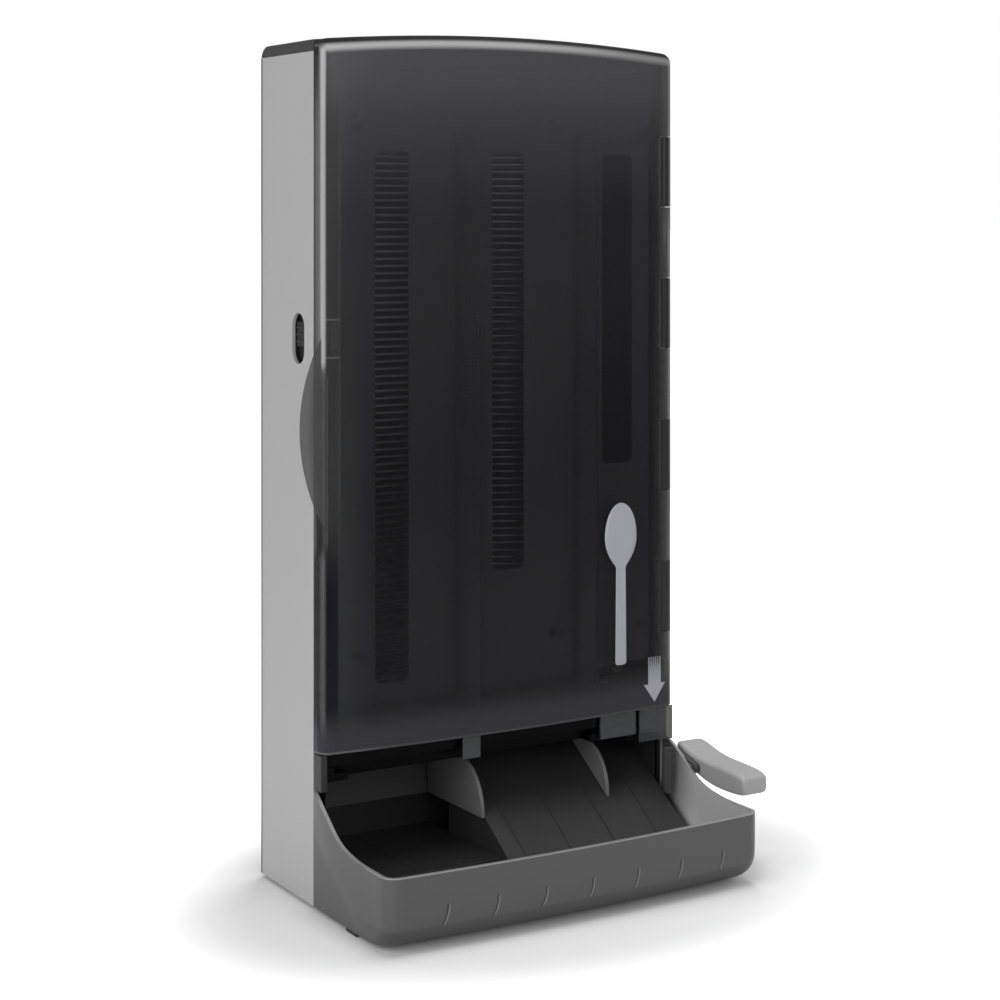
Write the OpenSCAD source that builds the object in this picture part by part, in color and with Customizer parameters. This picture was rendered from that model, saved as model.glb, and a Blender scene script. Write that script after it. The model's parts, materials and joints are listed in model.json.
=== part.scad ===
// Gravity-feed cutlery dispenser with a swinging smoke cover, a side lever and a catch tray.
// Housing frame: X = 0 on the centre line, Y = 0 on the front edge of the side panels,
// +Y towards the wall, Z = 0 on the floor. placed() moves it to the middle of the footprint.

/* [Housing] */
// Width across the two side panels
body_w = 306; // [290:1:330]
// Depth of the housing, from the panels' front edge to the wall
body_d = 90; // [86:1:110]
// Height of the top edge at the sides, above the floor
body_h = 622; // [560:1:700]
// Rise of the arched top in the middle
crown = 7; // [4:0.5:9]
// Thickness of the side panels
panel_t = 2.5; // [2:0.1:3.2]
// Thickness of the inner frame plates
frame_t = 2.5; // [2:0.1:3]
// Thickness of the back plate
back_t = 2.5; // [2:0.1:4]
// Height of the top cap's side band
cap_h = 8; // [6:0.5:14]
// Radius of the top cap's rear edge
cap_r = 12; // [8:1:16]
// Height of the feet
foot_h = 3; // [2:0.5:6]

/* [Front cover] */
// Height of the cover's lower edge above the floor
cover_z0 = 113; // [111:0.5:116]
// How far the cover's corners stand in front of the side panels
cover_front = 13.3; // [13:0.1:15]
// Extra reach of the bowed front in the middle
cover_bow = 7; // [3:0.5:10]
// Wall of the cover
cover_t = 2.4; // [2:0.1:2.8]
// Radius of the cover's left corner and top edge
cover_r = 8; // [7:0.5:9]
// Radius of the hinge barrels, which is the cover's right corner
knuckle_r = 6.5; // [6:0.1:6.6]
// Radius of the hinge pin
pin_r = 2; // [1.5:0.1:2.5]
// Length of one hinge knuckle
knuckle_len = 55.2; // [45:0.2:60]
// Height of the lowest hinge knuckle's lower end
knuckle_z0 = 171; // [160:1:180]
// Height of the finger grip's middle
grip_z = 343; // [320:1:360]
// Height of the finger grip
grip_h = 140; // [100:2:160]
// Reach of the finger grip beside the cover
grip_reach = 18; // [10:0.5:20]
// Thickness of the finger grip
grip_t = 2.2; // [1.8:0.1:3]

/* [Windows] */
// Width of a window in the cover's liner
window_w = 28; // [20:1:34]
// Distance between the windows' middles
window_pitch = 98.5; // [90:0.5:104]
// How far the middle window stands right of the centre line
window_shift = 6; // [-8:0.5:8]
// Height of the windows' upper end
window_top = 543; // [500:1:560]
// Height of the left window's lower end
window_low = 157; // [150:1:200]
// Rise from one window's lower end to the next
window_step = 73.5; // [50:0.5:90]

/* [Spoon magazine] */
// Length of one spoon
spoon_l = 178; // [150:1:180]
// Width of a spoon's bowl
spoon_w = 34; // [28:1:36]
// Width of a spoon's handle
handle_w = 13; // [9:0.5:15]
// Height of one nested spoon in the stack
stack_pitch = 5.4; // [5:0.1:7]
// Thickness of a spoon
spoon_t = 1.6; // [1.2:0.1:2]
// Height of the stack's lower face
stack_z0 = 100.4; // [100:0.1:101]
// Inner depth of the magazine
magazine_d = 40; // [38:1:46]
// Wall of the magazine's guides
guide_t = 2.2; // [1.8:0.1:3]

/* [Lever and gates] */
// Distance from the panels' front edge back to the lever shaft
lever_y = 58; // [52:1:64]
// Width of the lever's pad
pad_w = 26; // [20:1:34]
// Length of the lever's pad
pad_l = 88; // [70:1:96]
// Thickness of the lever arm
arm_t = 5; // [4:0.5:7]
// Radius of the lever shaft
shaft_r = 4; // [3:0.5:5]
// Tooth module of the gears and racks
tooth_m = 2; // [1.9:0.05:2]
// Teeth on a full circle of the lever's sector
sector_n = 30; // [30:1:31]
// Teeth on the pinion
pinion_n = 12; // [12:1:12]
// Height of the pinion's shaft
pinion_z = 116; // [115:0.5:118]
// Distance from the panels' front edge back to the pinion's shaft
pinion_y = 20; // [17:0.5:22]
// Thickness of the gate plates
gate_t = 1.6; // [1.2:0.1:1.8]
// Angle that the lever travels
lever_travel = 15; // [10:1:15]

/* [Tray] */
// How far the tray's front corners stand in front of the side panels
tray_front = 119.5; // [100:0.5:130]
// Extra reach of the tray's bowed front in the middle
tray_bow = 5; // [1:0.5:8]
// How far the tray's front stands out beside the housing
tray_flare = 3; // [1:0.5:4]
// Radius of the tray's front corners, seen from above
tray_corner = 11; // [8:1:16]
// Radius of the tray's lower front edge
tray_r = 22; // [18:1:28]
// Wall of the tray
tray_t = 2.8; // [2.2:0.1:3.4]
// Height of the tray's front lip above the floor
lip_z = 54; // [48:0.5:60]
// Height of the tray's side walls where they meet the housing
tray_top = 86; // [82:0.5:86]
// Height of the well's floor
well_z = 25; // [20:0.5:34]
// Left edge of the sloped deck
deck_x0 = -16; // [-30:0.5:0]
// Height of the deck above the panels' front edge
deck_z = 54; // [50:0.5:56]
// Slope of the deck, rise over run
deck_slope = 0.66; // [0.55:0.01:0.7]
// Thickness of the deck
deck_t = 2.4; // [2:0.1:3]
// Thickness of the curved fins
fin_t = 3; // [2:0.1:4]
// Distance between the two fins
fin_pitch = 108; // [90:1:112]
// Distance between the deck's ribs
rib_pitch = 39; // [30:1:44]

/* [Wall mount] */
// Distance across the keyholes
mount_w = 200; // [150:5:240]
// Distance from the upper to the lower mounting holes
mount_h = 400; // [300:5:440]
// Radius of a mounting hole
mount_r = 2.6; // [2:0.1:3.5]

/* [Hidden] */
$fn = 40;

// Clearances
gap = 0.3;          // between neighbouring bodies and loose parts
slip = 0.05;        // round a shaft or pin
seam = 0.2;         // between a sliding gate and its seat

// Housing
half_w = body_w / 2;
inner_w = half_w - panel_t;                 // inside face of a side panel
cheek_out = inner_w - gap;                  // outside face of an inner frame plate
cheek_in = cheek_out - frame_t;
back_y = body_d;
back_in = back_y - back_t;
flange_t = 2.5;
flange_y = back_in - gap;                   // rear face of the panels' return flanges
flange_w = 16;
base_z = foot_h;
panel_top = body_h - cap_h;
arch_r = (half_w * half_w + crown * crown) / (2 * crown);
arch_z = body_h + crown - arch_r;           // axis height of the arched top
plate_z = panel_top - 8;                    // underside of the top plate
cheek_z0 = tray_top + gap;
cheek_top = plate_z - gap;
cheek_y0 = 2.6;
cheek_y1 = flange_y - flange_t - gap;
ear_y = 12;
cap_screw_x = 110;
cap_screw_y = [24, 66];
cap_screw_r = 1.25;
cap_screw_len = 11;

// Cover
hinge_x = half_w - knuckle_r;
hinge_y = -cover_front + knuckle_r;
cover_back = -gap;
cover_x0 = -half_w + cover_r;
cover_n = 8;                                // straight pieces in the bowed front
function mix(a, b, t) = a + (b - a) * t;
function cover_x(t) = mix(cover_x0, hinge_x, t);
function cover_edge(t) = mix(cover_r, knuckle_r, t);
function bow(x) = 1 - pow(x / half_w, 2);
function front_y(x) = -cover_front - cover_bow * bow(x);
function top_z(x) = body_h + crown * bow(x);
knuckle_gap = 0.4;
knuckle_count = 7;
barrel_end = 28;                            // cover barrels above and below the knuckles
knuckle_z1 = knuckle_z0 + knuckle_count * knuckle_len;
strip_y0 = gap;
strip_t = 2;
strip_x0 = hinge_x - 8;
strip_screw_z = [knuckle_z0 + 1.5 * knuckle_len, knuckle_z1 - 1.5 * knuckle_len];
strip_screw_x = (cheek_in + cheek_out) / 2;
strip_screw_r = 0.8;
strip_screw_len = 9;

// Liner
liner_y = -6;
liner_t = 1.8;
liner_x0 = -cheek_in + 11.7;
liner_x1 = cheek_in - 13.7;
liner_low_x = 86;                           // the liner starts higher beside the drive
liner_low_z = 150;
liner_z0 = 124;
liner_z1 = plate_z - 8;
liner_screw_x = [liner_x0 + 13, 45, liner_x1 - 10];
liner_screw_z = [liner_low_z + 30, liner_z1 - 30];

guide_rib_x = [-32, 72];
guide_rib_w = 15;
guard_x = [84, 117];

// Latch
latch_y = 25;
latch_z = 407;
latch_w = 20;
latch_l = 37;
latch_travel = 7;
latch_plate_x = -cheek_in + gap;
latch_plate_t = 2;
catch_y = 5.5;
catch_t = 4;
hook_x = -cheek_in + 3.2;
hook_w = 5;
hook_z = latch_z + 2;
spring_y = latch_y + 4;

// Spoon stack
stack_shift = 33;                           // the stack's middle, left of the housing's middle
stack_x0 = -spoon_l / 2 - stack_shift;
stack_y = 5 + spoon_w / 2;
stack_top = plate_z - 60;
stack_n = floor((stack_top - stack_z0) / stack_pitch);
bowl_l = spoon_l * 0.33;
bowl_x = stack_x0 + spoon_l - bowl_l / 2;
magazine_y = 4 + magazine_d;
guide_x0 = stack_x0 - gap;
guide_x1 = stack_x0 + spoon_l + gap;

// Drive
drive_x = 84;
gear_t = 5;
sector_x = drive_x + 20;
rack_x = sector_x + gear_t + 2;
spring_x0 = rack_x + gear_t + 4;
pitch_r = tooth_m * pinion_n / 2;
sector_r = tooth_m * sector_n / 2;
gear_d = pitch_r + sector_r;
lever_z = pinion_z + sqrt(gear_d * gear_d - pow(lever_y - pinion_y, 2));
mesh_angle = atan2(pinion_z - lever_z, pinion_y - lever_y);   // from the shaft to the pinion
backlash = 0.9;
pinion_shaft_r = 2.5;
bush_r = shaft_r + 2.5;
low_pitch_z = pinion_z - pitch_r;
high_pitch_z = pinion_z + pitch_r;
mesh_turn = mesh_angle + 180;               // direction from the pinion to the shaft
function wrap(a, n) = a - n * round(a / n);
rack_shift = wrap(mesh_turn - 90, 360 / pinion_n) * PI / 180 * pitch_r;

// Gates
low_gate_z = stack_z0 - 0.3 - gate_t;
high_gate_z = stack_z0 + spoon_t + (stack_pitch - spoon_t - gate_t) / 2;
gate_travel = sector_r * lever_travel * PI / 180;
gate_drop = 4.5;                            // how far the lower gate's lip hangs down
low_bar_y = -2.5;
bar_w = 6;
high_bar_y = low_bar_y - gate_travel;
low_reach = 6.2;                            // how far a lower tongue goes under the spoon
high_reach = low_reach - gate_travel;
bowl_front = stack_y - spoon_w / 2;
handle_front = stack_y - handle_w / 2;
tongue_bowl = [bowl_x - 18, bowl_x + 18];
tongue_handle = [stack_x0 + 30, stack_x0 + 70];
high_gate_x0 = -cheek_in + 1;
low_gate_x0 = high_gate_x0 + 6.5;
gate_x1 = rack_x + gear_t;

// Lever, as points in the YZ plane
elbow = [12, 68];
root = [-13, 72.5];
arm_x0 = half_w + 2.5;
arm_x1 = arm_x0 + arm_t;
pad_x0 = arm_x1;
pad_x1 = pad_x0 + pad_w;
tang = [root[0] - 21, root[1] - 5.5];       // front end of the arm, inside the pad's outline
arm_boss = 3;
arm_screws = [0.2, 0.85];
arm_screw_r = 1.2;

// Tray
tray_z0 = base_z;
tray_half = half_w + tray_flare;
box_w = cheek_in - 1.2;
box_y1 = body_d - 12;
box_z0 = base_z + frame_t + gap;
well_back = 47;                             // top of the tray's rear wall
tray_screw_x = 100;
tray_screw_y = 50;
tray_screw_r = 2;
crease_y = -70;
crease_z = 48;
deck_x1 = box_w - tray_t - gap;
well_rib_pitch = 34;
deck_y1 = 44;
deck_y0 = -62;
deck_base = box_z0 + tray_t + gap;
function deck_top(y) = deck_z + deck_slope * y;
fin_x = deck_x0 + fin_t / 2 + 0.5;

// Place of the housing's frame in the row's frame
grip_angle = 40;
grip_tip = half_w - cover_r + cover_r * sin(grip_angle) + grip_reach * cos(grip_angle);
shift_x = -(pad_x1 - grip_tip) / 2;
shift_y = -(body_d - tray_front - tray_bow) / 2;

// ---- helpers ----
module placed() translate([shift_x, shift_y, 0]) children();
module slab(x0, x1, y0, y1, z0, z1) translate([x0, y0, z0]) cube([x1 - x0, y1 - y0, z1 - z0]);
// A YZ outline drawn out along X, and an XZ outline along Y
module along_x(x0, x1) translate([x0, 0, 0]) rotate([90, 0, 90]) linear_extrude(x1 - x0) children();
module along_y(y0, y1) translate([0, y1, 0]) rotate([90, 0, 0]) linear_extrude(y1 - y0) children();
module rod_x(x0, x1, y, z, r) translate([x0, y, z]) rotate([0, 90, 0]) cylinder(h = x1 - x0, r = r);
module rod_y(y0, y1, x, z, r) translate([x, y0, z]) rotate([-90, 0, 0]) cylinder(h = y1 - y0, r = r);
module rod_z(z0, z1, x, y, r) translate([x, y, z0]) cylinder(h = z1 - z0, r = r);
module obround(w, l) union() {
    square([w, l - w], center = true);
    for (s = [-1, 1]) translate([0, s * (l - w) / 2]) circle(d = w);
}

// ---- housing ----
screw_r = 1.6;
screw_len = back_t + gap + flange_t;
head_r = 3.2;
head_t = 1.2;
screw_x = inner_w - flange_w / 2;
screw_margin = 40;                          // from a row of screws to the panel's end
screw_rows = [base_z + screw_margin, base_z + body_h / 2 - screw_margin, panel_top - screw_margin];
mount_low = 90;                             // lower mounting holes above the base
mount_z = base_z + mount_low;
back_rib_x = 60;                            // the back plate's two stiffening ribs
back_rib_z0 = 120;

module back_plate() color("dimgray") difference() {
    union() {
        slab(-half_w + gap, half_w - gap, back_in, back_y, base_z, panel_top - gap);
        for (s = [-1, 1]) slab(s * back_rib_x - 1, s * back_rib_x + 1, back_in - 8, back_in, base_z + back_rib_z0,
            panel_top - screw_margin);
    }
    for (s = [-1, 1]) {
        rod_y(back_in - 1, back_y + 1, s * mount_w / 2, mount_z, mount_r);
        rod_y(back_in - 1, back_y + 1, s * mount_w / 2, mount_z + mount_h, mount_r);
        for (z = screw_rows) {
            rod_y(back_in - 1, back_y + 1, s * screw_x, z, screw_r + slip);
            rod_y(back_y - head_t, back_y + 1, s * screw_x, z, head_r + slip);
        }
    }
}

module side_shell() difference() {
    union() {
        slab(inner_w, half_w, 0, flange_y, base_z, panel_top - gap);
        slab(inner_w - flange_w, inner_w + 1, flange_y - flange_t, flange_y, base_z, panel_top - gap);
    }
    for (z = screw_rows) rod_y(flange_y - flange_t - 1, flange_y + 1, screw_x, z, screw_r + slip);
}

module left_panel() color("darkgray") difference() {
    mirror([1, 0, 0]) side_shell();
    translate([-half_w - 1, latch_y, latch_z]) rotate([90, 0, 90])
        linear_extrude(panel_t + 2) obround(latch_w, latch_l);
}

module right_panel() color("darkgray") difference() {
    side_shell();
    rod_x(inner_w - 1, half_w + 1, lever_y, lever_z, bush_r + slip);
}

module arched(y0, y1, z0, cut) intersection() {
    slab(-half_w + cut, half_w - cut, y0, y1, z0, body_h + crown + 1);
    rod_y(y0 - 1, y1 + 1, 0, arch_z, arch_r - cut, $fn = 200);
}

module cap_edge(y1, cut) difference() {
    slab(-half_w - 1, half_w + 1, y1 - cap_r + cut, y1 + 1, body_h + crown - cap_r - crown, body_h + crown + 2);
    rod_x(-half_w - 2, half_w + 2, y1 - cap_r + cut, body_h - cap_r, cap_r - cut);
}

module cap_shell() difference() {
    arched(0, back_y, panel_top, 0);
    cap_edge(back_y, 0);
    difference() {
        arched(-1, back_y - panel_t, panel_top - 1, panel_t);
        cap_edge(back_y - panel_t, 0);
    }
}
module top_cap() color([0.2, 0.2, 0.22]) difference() {
    union() {
        cap_shell();
        for (s = [-1, 1]) for (y = cap_screw_y)
            rod_z(plate_z + frame_t, top_z(cap_screw_x) - panel_t + 0.5, s * cap_screw_x, y, 4);
    }
    for (s = [-1, 1]) for (y = cap_screw_y)
        rod_z(plate_z, plate_z + cap_screw_len, s * cap_screw_x, y, cap_screw_r + slip);
}

module top_plate() color("dimgray") difference() {
    slab(-cheek_out, cheek_out, cheek_y0, cheek_y1, plate_z, plate_z + frame_t);
    for (s = [-1, 1]) for (y = cap_screw_y)
        rod_z(plate_z - 1, plate_z + frame_t + 1, s * cap_screw_x, y, cap_screw_r + slip);
}

module base_shell() union() {
    slab(-cheek_out, cheek_out, 2, cheek_y1, base_z, base_z + frame_t);
    for (s = [-1, 1]) slab(s * cheek_out - (s + 1) / 2 * frame_t, s * cheek_out - (s - 1) / 2 * frame_t,
        2, cheek_y1, base_z, tray_top);
    slab(-cheek_out, cheek_out, cheek_y1 - frame_t, cheek_y1, base_z, tray_top);
}
module base_frame() color("dimgray") difference() {
    base_shell();
    for (s = [-1, 1]) rod_z(base_z - 1, base_z + frame_t + 1, s * tray_screw_x, tray_screw_y, tray_screw_r + slip);
}

ear_z1 = cover_z0 - 0.6;
module cheek() slab(cheek_in, cheek_out, cheek_y0, cheek_y1, cheek_z0, cheek_top);
module ear() union() {
    slab(cheek_in, cheek_out, -ear_y, cheek_y0, cheek_z0, ear_z1);
    slab(cheek_out - 1, half_w - 0.2, -ear_y, -gap, cheek_z0, ear_z1);
}

module left_cheek() color("dimgray") difference() {
    mirror([1, 0, 0]) union() { cheek(); ear(); }
    translate([-cheek_out - 1, latch_y, latch_z]) rotate([90, 0, 90])
        linear_extrude(frame_t + 2) obround(latch_w + 1, latch_l + 1);
}

module right_cheek() color("dimgray") difference() {
    cheek();
    for (z = strip_screw_z) rod_y(0, strip_y0 + strip_screw_len + gap, strip_screw_x, z, strip_screw_r + slip);
    rod_x(cheek_in - 1, cheek_out + 1, lever_y, lever_z, bush_r + slip);
    rod_x(cheek_in - 1, cheek_out + 1, pinion_y, pinion_z, pinion_shaft_r + slip);
}

// Frame round the outlet: shelves for the gates' ends, rear ledge and the drive's floor
ledge_z0 = stack_z0 - 5.4;
drive_floor_x = drive_x - 7.7;
module outlet_frame() color([0.16, 0.16, 0.17]) union() {
    slab(-cheek_in + gap, guide_x0, magazine_y - 8, cheek_y1, ledge_z0, stack_z0 - gap);
    slab(guide_x0 - 1, drive_floor_x + 2, magazine_y - 8, magazine_y + 12, ledge_z0, stack_z0 - gap);
    slab(tongue_handle[0], tongue_handle[1], stack_y + handle_w / 2 - 4, magazine_y - 7,
        stack_z0 - gap - 2, stack_z0 - gap);
    // left end: a shelf for the lower gate, with a step for the upper one
    slab(-cheek_in + gap, guide_x0 - 8, low_bar_y - gate_travel, magazine_y, ledge_z0 - 2, low_gate_z - seam);
    slab(-cheek_in + gap, low_gate_x0 - 1.2, high_bar_y - 0.5, magazine_y, ledge_z0 - 2, high_gate_z - seam);
    // right end: floor under the racks
    slab(drive_floor_x, cheek_in - gap, low_bar_y - gate_travel, cheek_y1, ledge_z0 - 2, low_gate_z - seam);
    slab(drive_floor_x, drive_x - 1, bar_w, cheek_y1, ledge_z0 - 2, stack_z0 - gap);
}

// Plate behind the tray's well, above the tray's rear wall
module outlet_back() color("gray")
    slab(-box_w, box_w, box_y1 + gap, box_y1 + gap + 2, base_z + frame_t + gap, ledge_z0 - 2 - gap);

module feet() color([0.12, 0.12, 0.12]) union() {
    for (s = [-1, 1]) {
        slab(s * (half_w - 2.4) - 1.8, s * (half_w - 2.4) + 1.8, -66, -50, 0, foot_h);
        slab(s * (half_w - 14) - 8, s * (half_w - 14) + 8, flange_y - 30, flange_y - 14, 0, foot_h);
    }
}

// ---- magazine ----
module magazine_back() color("dimgray") union() {
    slab(guide_x0 - guide_t - 6, drive_x - gap, magazine_y, magazine_y + frame_t, stack_z0, cheek_top);
    for (x = [guide_x0 - guide_t, guide_x1 + guide_t]) slab(x - 1, x + 1, magazine_y + frame_t - 1,
        magazine_y + 14, stack_z0 + 20, cheek_top);
}

module stack_guide(x, way) union() {
    slab(min(x, x + way * guide_t), max(x, x + way * guide_t), 3, magazine_y, stack_z0 + 6, cheek_top);
    slab(min(x, x + way * 9), max(x, x + way * 9), magazine_y - guide_t, magazine_y, stack_z0 + 6, cheek_top);
    slab(min(x, x + way * 7), max(x, x + way * 7), 3, 3 + guide_t, stack_z0 + 30, cheek_top);
}
module stack_guide_left() color("gray") stack_guide(guide_x0, -1);
module stack_guide_right() color("gray") stack_guide(guide_x1, 1);

module drive_wall() color("dimgray") difference() {
    union() {
        slab(drive_x, drive_x + frame_t, cheek_y0, cheek_y1, cover_z0, cheek_top);
        rod_x(drive_x, drive_x + 5, lever_y, lever_z, bush_r + 3);
        rod_x(drive_x, drive_x + 5, pinion_y, pinion_z, 5);
    }
    rod_x(drive_x - 1, drive_x + 6, lever_y, lever_z, bush_r + slip);
    rod_x(drive_x - 1, drive_x + 6, pinion_y, pinion_z, pinion_shaft_r + slip);
}

// One spoon seen from above, handle to the left
bowl_pts = 14;
module spoon_outline(l, w, hw) polygon(concat(
    [[0, -hw * 0.42], [l * 0.03, -hw / 2], [l * 0.6, -hw * 0.36]],
    [for (i = [1:bowl_pts - 1]) let (a = 180 + i * 360 / bowl_pts)
        [l - l * 0.165 + l * 0.165 * cos(a), w / 2 * sin(a)]],
    [[l * 0.6, hw * 0.36], [l * 0.03, hw / 2], [0, hw * 0.42]]));

module spoon_stack() color("dimgray")
    for (i = [0:stack_n - 1]) translate([stack_x0, stack_y, stack_z0 + i * stack_pitch])
        linear_extrude(spoon_t) spoon_outline(spoon_l, spoon_w, handle_w);

// ---- hinge and cover ----
module barrel(k, r, cut) rod_z(knuckle_z0 + k * knuckle_len + cut, knuckle_z0 + (k + 1) * knuckle_len - cut,
    hinge_x, hinge_y, r);

module hinge_strip() color([0.2, 0.2, 0.22]) difference() {
    union() {
        slab(strip_x0, cheek_out, strip_y0, strip_y0 + strip_t, knuckle_z0 - 8, knuckle_z1 + 8);
        for (k = [0:2:knuckle_count - 1]) {
            barrel(k, knuckle_r - 0.2, knuckle_gap);
            slab(hinge_x - 3, hinge_x + 3, hinge_y, strip_y0 + 0.5,
                knuckle_z0 + k * knuckle_len + knuckle_gap, knuckle_z0 + (k + 1) * knuckle_len - knuckle_gap);
        }
    }
    rod_z(knuckle_z0 - 1, knuckle_z1 + 1, hinge_x, hinge_y, pin_r + slip);
    for (z = strip_screw_z) rod_y(strip_y0 - 1, strip_y0 + strip_t + 1, strip_screw_x, z, strip_screw_r + slip);
}

module hinge_pin() color("silver")
    rod_z(knuckle_z0 - barrel_end + 6, knuckle_z1 + barrel_end - 6, hinge_x, hinge_y, pin_r);

// Outer or inner skin of the cover: rounded front and top edges, bowed front, arched top
module cover_skin(cut) hull() {
    for (i = [0:cover_n]) {
        x = cover_x(i / cover_n);
        r = cover_edge(i / cover_n);
        translate([x, front_y(x) + r, top_z(x) - r]) sphere(r = r - cut, $fn = 24);
        translate([x, front_y(x) + r, cover_z0 - (cut > 0 ? 1 : 0)]) cylinder(r = r - cut, h = 1, $fn = 24);
        translate([x, cover_back + (cut > 0 ? 1 : 0) - 0.5, top_z(x) - r - 0.02]) rotate([-90, 0, 0])
            cylinder(r = min(r, i == cover_n ? 0.6 : r) - (i == cover_n ? 0 : cut), h = 0.5, $fn = 24);
    }
    slab(-half_w + cut, hinge_x, cover_back - 1, cover_back + (cut > 0 ? 1 : 0),
        cover_z0 - (cut > 0 ? 1 : 0), cover_z0 + 2);
}

module grip_ear() translate([cover_x0 - cover_r * sin(grip_angle), hinge_y - knuckle_r + cover_r
        - cover_r * cos(grip_angle), grip_z])
    rotate([0, 0, 180 - grip_angle]) rotate([90, 0, 0]) linear_extrude(grip_t) intersection() {
        ear_r = (pow(grip_h / 2, 2) + pow(grip_reach, 2)) / (2 * grip_reach);
        translate([grip_reach - ear_r, 0]) circle(r = ear_r, $fn = 120);
        translate([-1.2, -grip_h / 2]) square([grip_reach + 4, grip_h]);
    }

module front_cover() color([0.15, 0.15, 0.18, 0.6]) difference() {
    union() {
        difference() {
            cover_skin(0);
            cover_skin(cover_t);
            slab(-half_w - 1, hinge_x, cover_back, cover_back + 2 * cover_r, cover_z0 - 2, body_h + crown + 2);
        }
        for (k = [-1:2:knuckle_count]) intersection() {
            barrel(k, knuckle_r - 0.1, k == -1 || k == knuckle_count ? 0.01 : knuckle_gap);
            rod_z(knuckle_z0 - barrel_end, knuckle_z1 + barrel_end, hinge_x, hinge_y, knuckle_r);
        }
        grip_ear();
        for (z = [latch_z + 14, latch_z - 13])
            slab(-half_w + 2, liner_x0 - gap, -cover_front + 1, -cover_front + 8, z, z + 1.6);
        for (x = liner_screw_x) for (z = liner_screw_z)
            rod_y(front_y(x) + 1, liner_y - gap, x, z, 4);
    }
    for (k = [0:2:knuckle_count - 1]) slab(hinge_x - knuckle_r - gap, half_w + 1, front_y(hinge_x) - 1, 1,
        knuckle_z0 + k * knuckle_len, knuckle_z0 + (k + 1) * knuckle_len);
    rod_z(knuckle_z0 - barrel_end + 5.7, knuckle_z1 + barrel_end - 5.7, hinge_x, hinge_y, pin_r + slip);
    for (x = liner_screw_x) for (z = liner_screw_z)
        rod_y(liner_y - 5, liner_y, x, z, 1);
}

module door_liner() color([0.25, 0.25, 0.27]) difference() {
    union() {
        slab(liner_x0, liner_low_x, liner_y, liner_y + liner_t, liner_z0, liner_z1);
        slab(liner_low_x - 1, liner_x1, liner_y, liner_y + liner_t, liner_low_z, liner_z1);
        slab(liner_low_x - 2, liner_low_x, liner_y - 4, liner_y + 1, liner_z0, liner_z1);
    }
    for (i = [-1:1]) {
        z0 = window_low + (i + 1) * window_step;
        translate([window_shift + i * window_pitch, liner_y + liner_t + 1, (z0 + window_top) / 2]) rotate([90, 0, 0])
            linear_extrude(liner_t + 2) rounded(window_w, window_top - z0, 5);
    }
    for (x = liner_screw_x) for (z = liner_screw_z)
        rod_y(liner_y - 1, liner_y + liner_t + 1, x, z, 1.6);
}

module rounded(w, l, r) union() {
    square([w, l - 2 * r], center = true);
    square([w - 2 * r, l], center = true);
    for (sx = [-1, 1]) for (sy = [-1, 1]) translate([sx * (w / 2 - r), sy * (l / 2 - r)]) circle(r = r);
}

// Clear ribs behind the cover that run its full height; the left one ends in a tab below the edge
module door_guides() color([0.6, 0.6, 0.65, 0.5]) {
    for (x = guide_rib_x) slab(x - guide_rib_w / 2, x + guide_rib_w / 2, front_y(abs(x) + guide_rib_w / 2) + cover_t
        + gap, liner_y - gap, cover_z0 + 8, liner_z1 - 40);
    x = guide_rib_x[0];
    slab(x - guide_rib_w / 2, x + guide_rib_w / 2, front_y(abs(x) + guide_rib_w / 2) + cover_t + gap,
        front_y(abs(x) + guide_rib_w / 2) + cover_t + gap + 2, cover_z0 - 17, cover_z0 + 9);
}

// Clear guard that hangs below the cover's edge in front of the drive
module door_guard() color([0.7, 0.7, 0.75, 0.5])
    slab(guard_x[0], guard_x[1], front_y(guard_x[1]) + cover_t + gap, front_y(guard_x[1]) + cover_t + gap + 2,
        cover_z0 - 19, cover_z0 + 16);

module door_hook() color("gray") union() {
    slab(hook_x, hook_x + hook_w, liner_y - 3, catch_y + catch_t + gap + 4, hook_z, hook_z + 3.5);
    slab(hook_x, hook_x + hook_w, catch_y + catch_t + gap, catch_y + catch_t + gap + 4, hook_z - 5, hook_z + 1);
    slab(hook_x, hook_x + hook_w, front_y(hook_x) + cover_t + gap, liner_y, hook_z - 9, hook_z + 11);
}

// Pictogram plates on the cover's face
icon_t = 0.4;
spoon_icon_x = half_w - 53;
spoon_icon_z0 = 153;
spoon_icon_l = 122;
spoon_icon_w = 32;
spoon_icon_end = 5.6;                       // half width of the handle's rounded end
arrow_x = half_w - 20;
arrow_z0 = 118;
arrow_l = 35;
arrow_head = [10.5, 14];                    // half width and height of the arrow's head
arrow_shaft = 6.2;                          // half width of the arrow's shaft
module on_cover(x) translate([x, front_y(x) - 0.02, 0])
    rotate([0, 0, atan(2 * cover_bow * x / (half_w * half_w))]) rotate([90, 0, 0]) linear_extrude(icon_t) children();
// Handle's outline: share of the length and share of the end's half width
spoon_icon_side = [[0, 1], [0.3, 0.86], [0.6, 0.62], [0.7, 1.1]];
module spoon_icon() color("lightgray") on_cover(spoon_icon_x)
    translate([0, spoon_icon_z0]) rotate([0, 0, 90]) union() {
        translate([spoon_icon_l * 0.81, 0]) scale([1.45, 1]) circle(d = spoon_icon_w, $fn = 48);
        polygon(concat([for (p = spoon_icon_side) [spoon_icon_l * p[0], -spoon_icon_end * p[1]]],
            [for (i = [len(spoon_icon_side) - 1:-1:0]) let (p = spoon_icon_side[i])
                [spoon_icon_l * p[0], spoon_icon_end * p[1]]]));
        circle(r = spoon_icon_end);
    }
module arrow_icon() color("lightgray") on_cover(arrow_x) polygon([[0, arrow_z0],
    [arrow_head[0], arrow_z0 + arrow_head[1]], [arrow_shaft, arrow_z0 + arrow_head[1]],
    [arrow_shaft, arrow_z0 + arrow_l], [-arrow_shaft, arrow_z0 + arrow_l],
    [-arrow_shaft, arrow_z0 + arrow_head[1]], [-arrow_head[0], arrow_z0 + arrow_head[1]]]);

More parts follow.
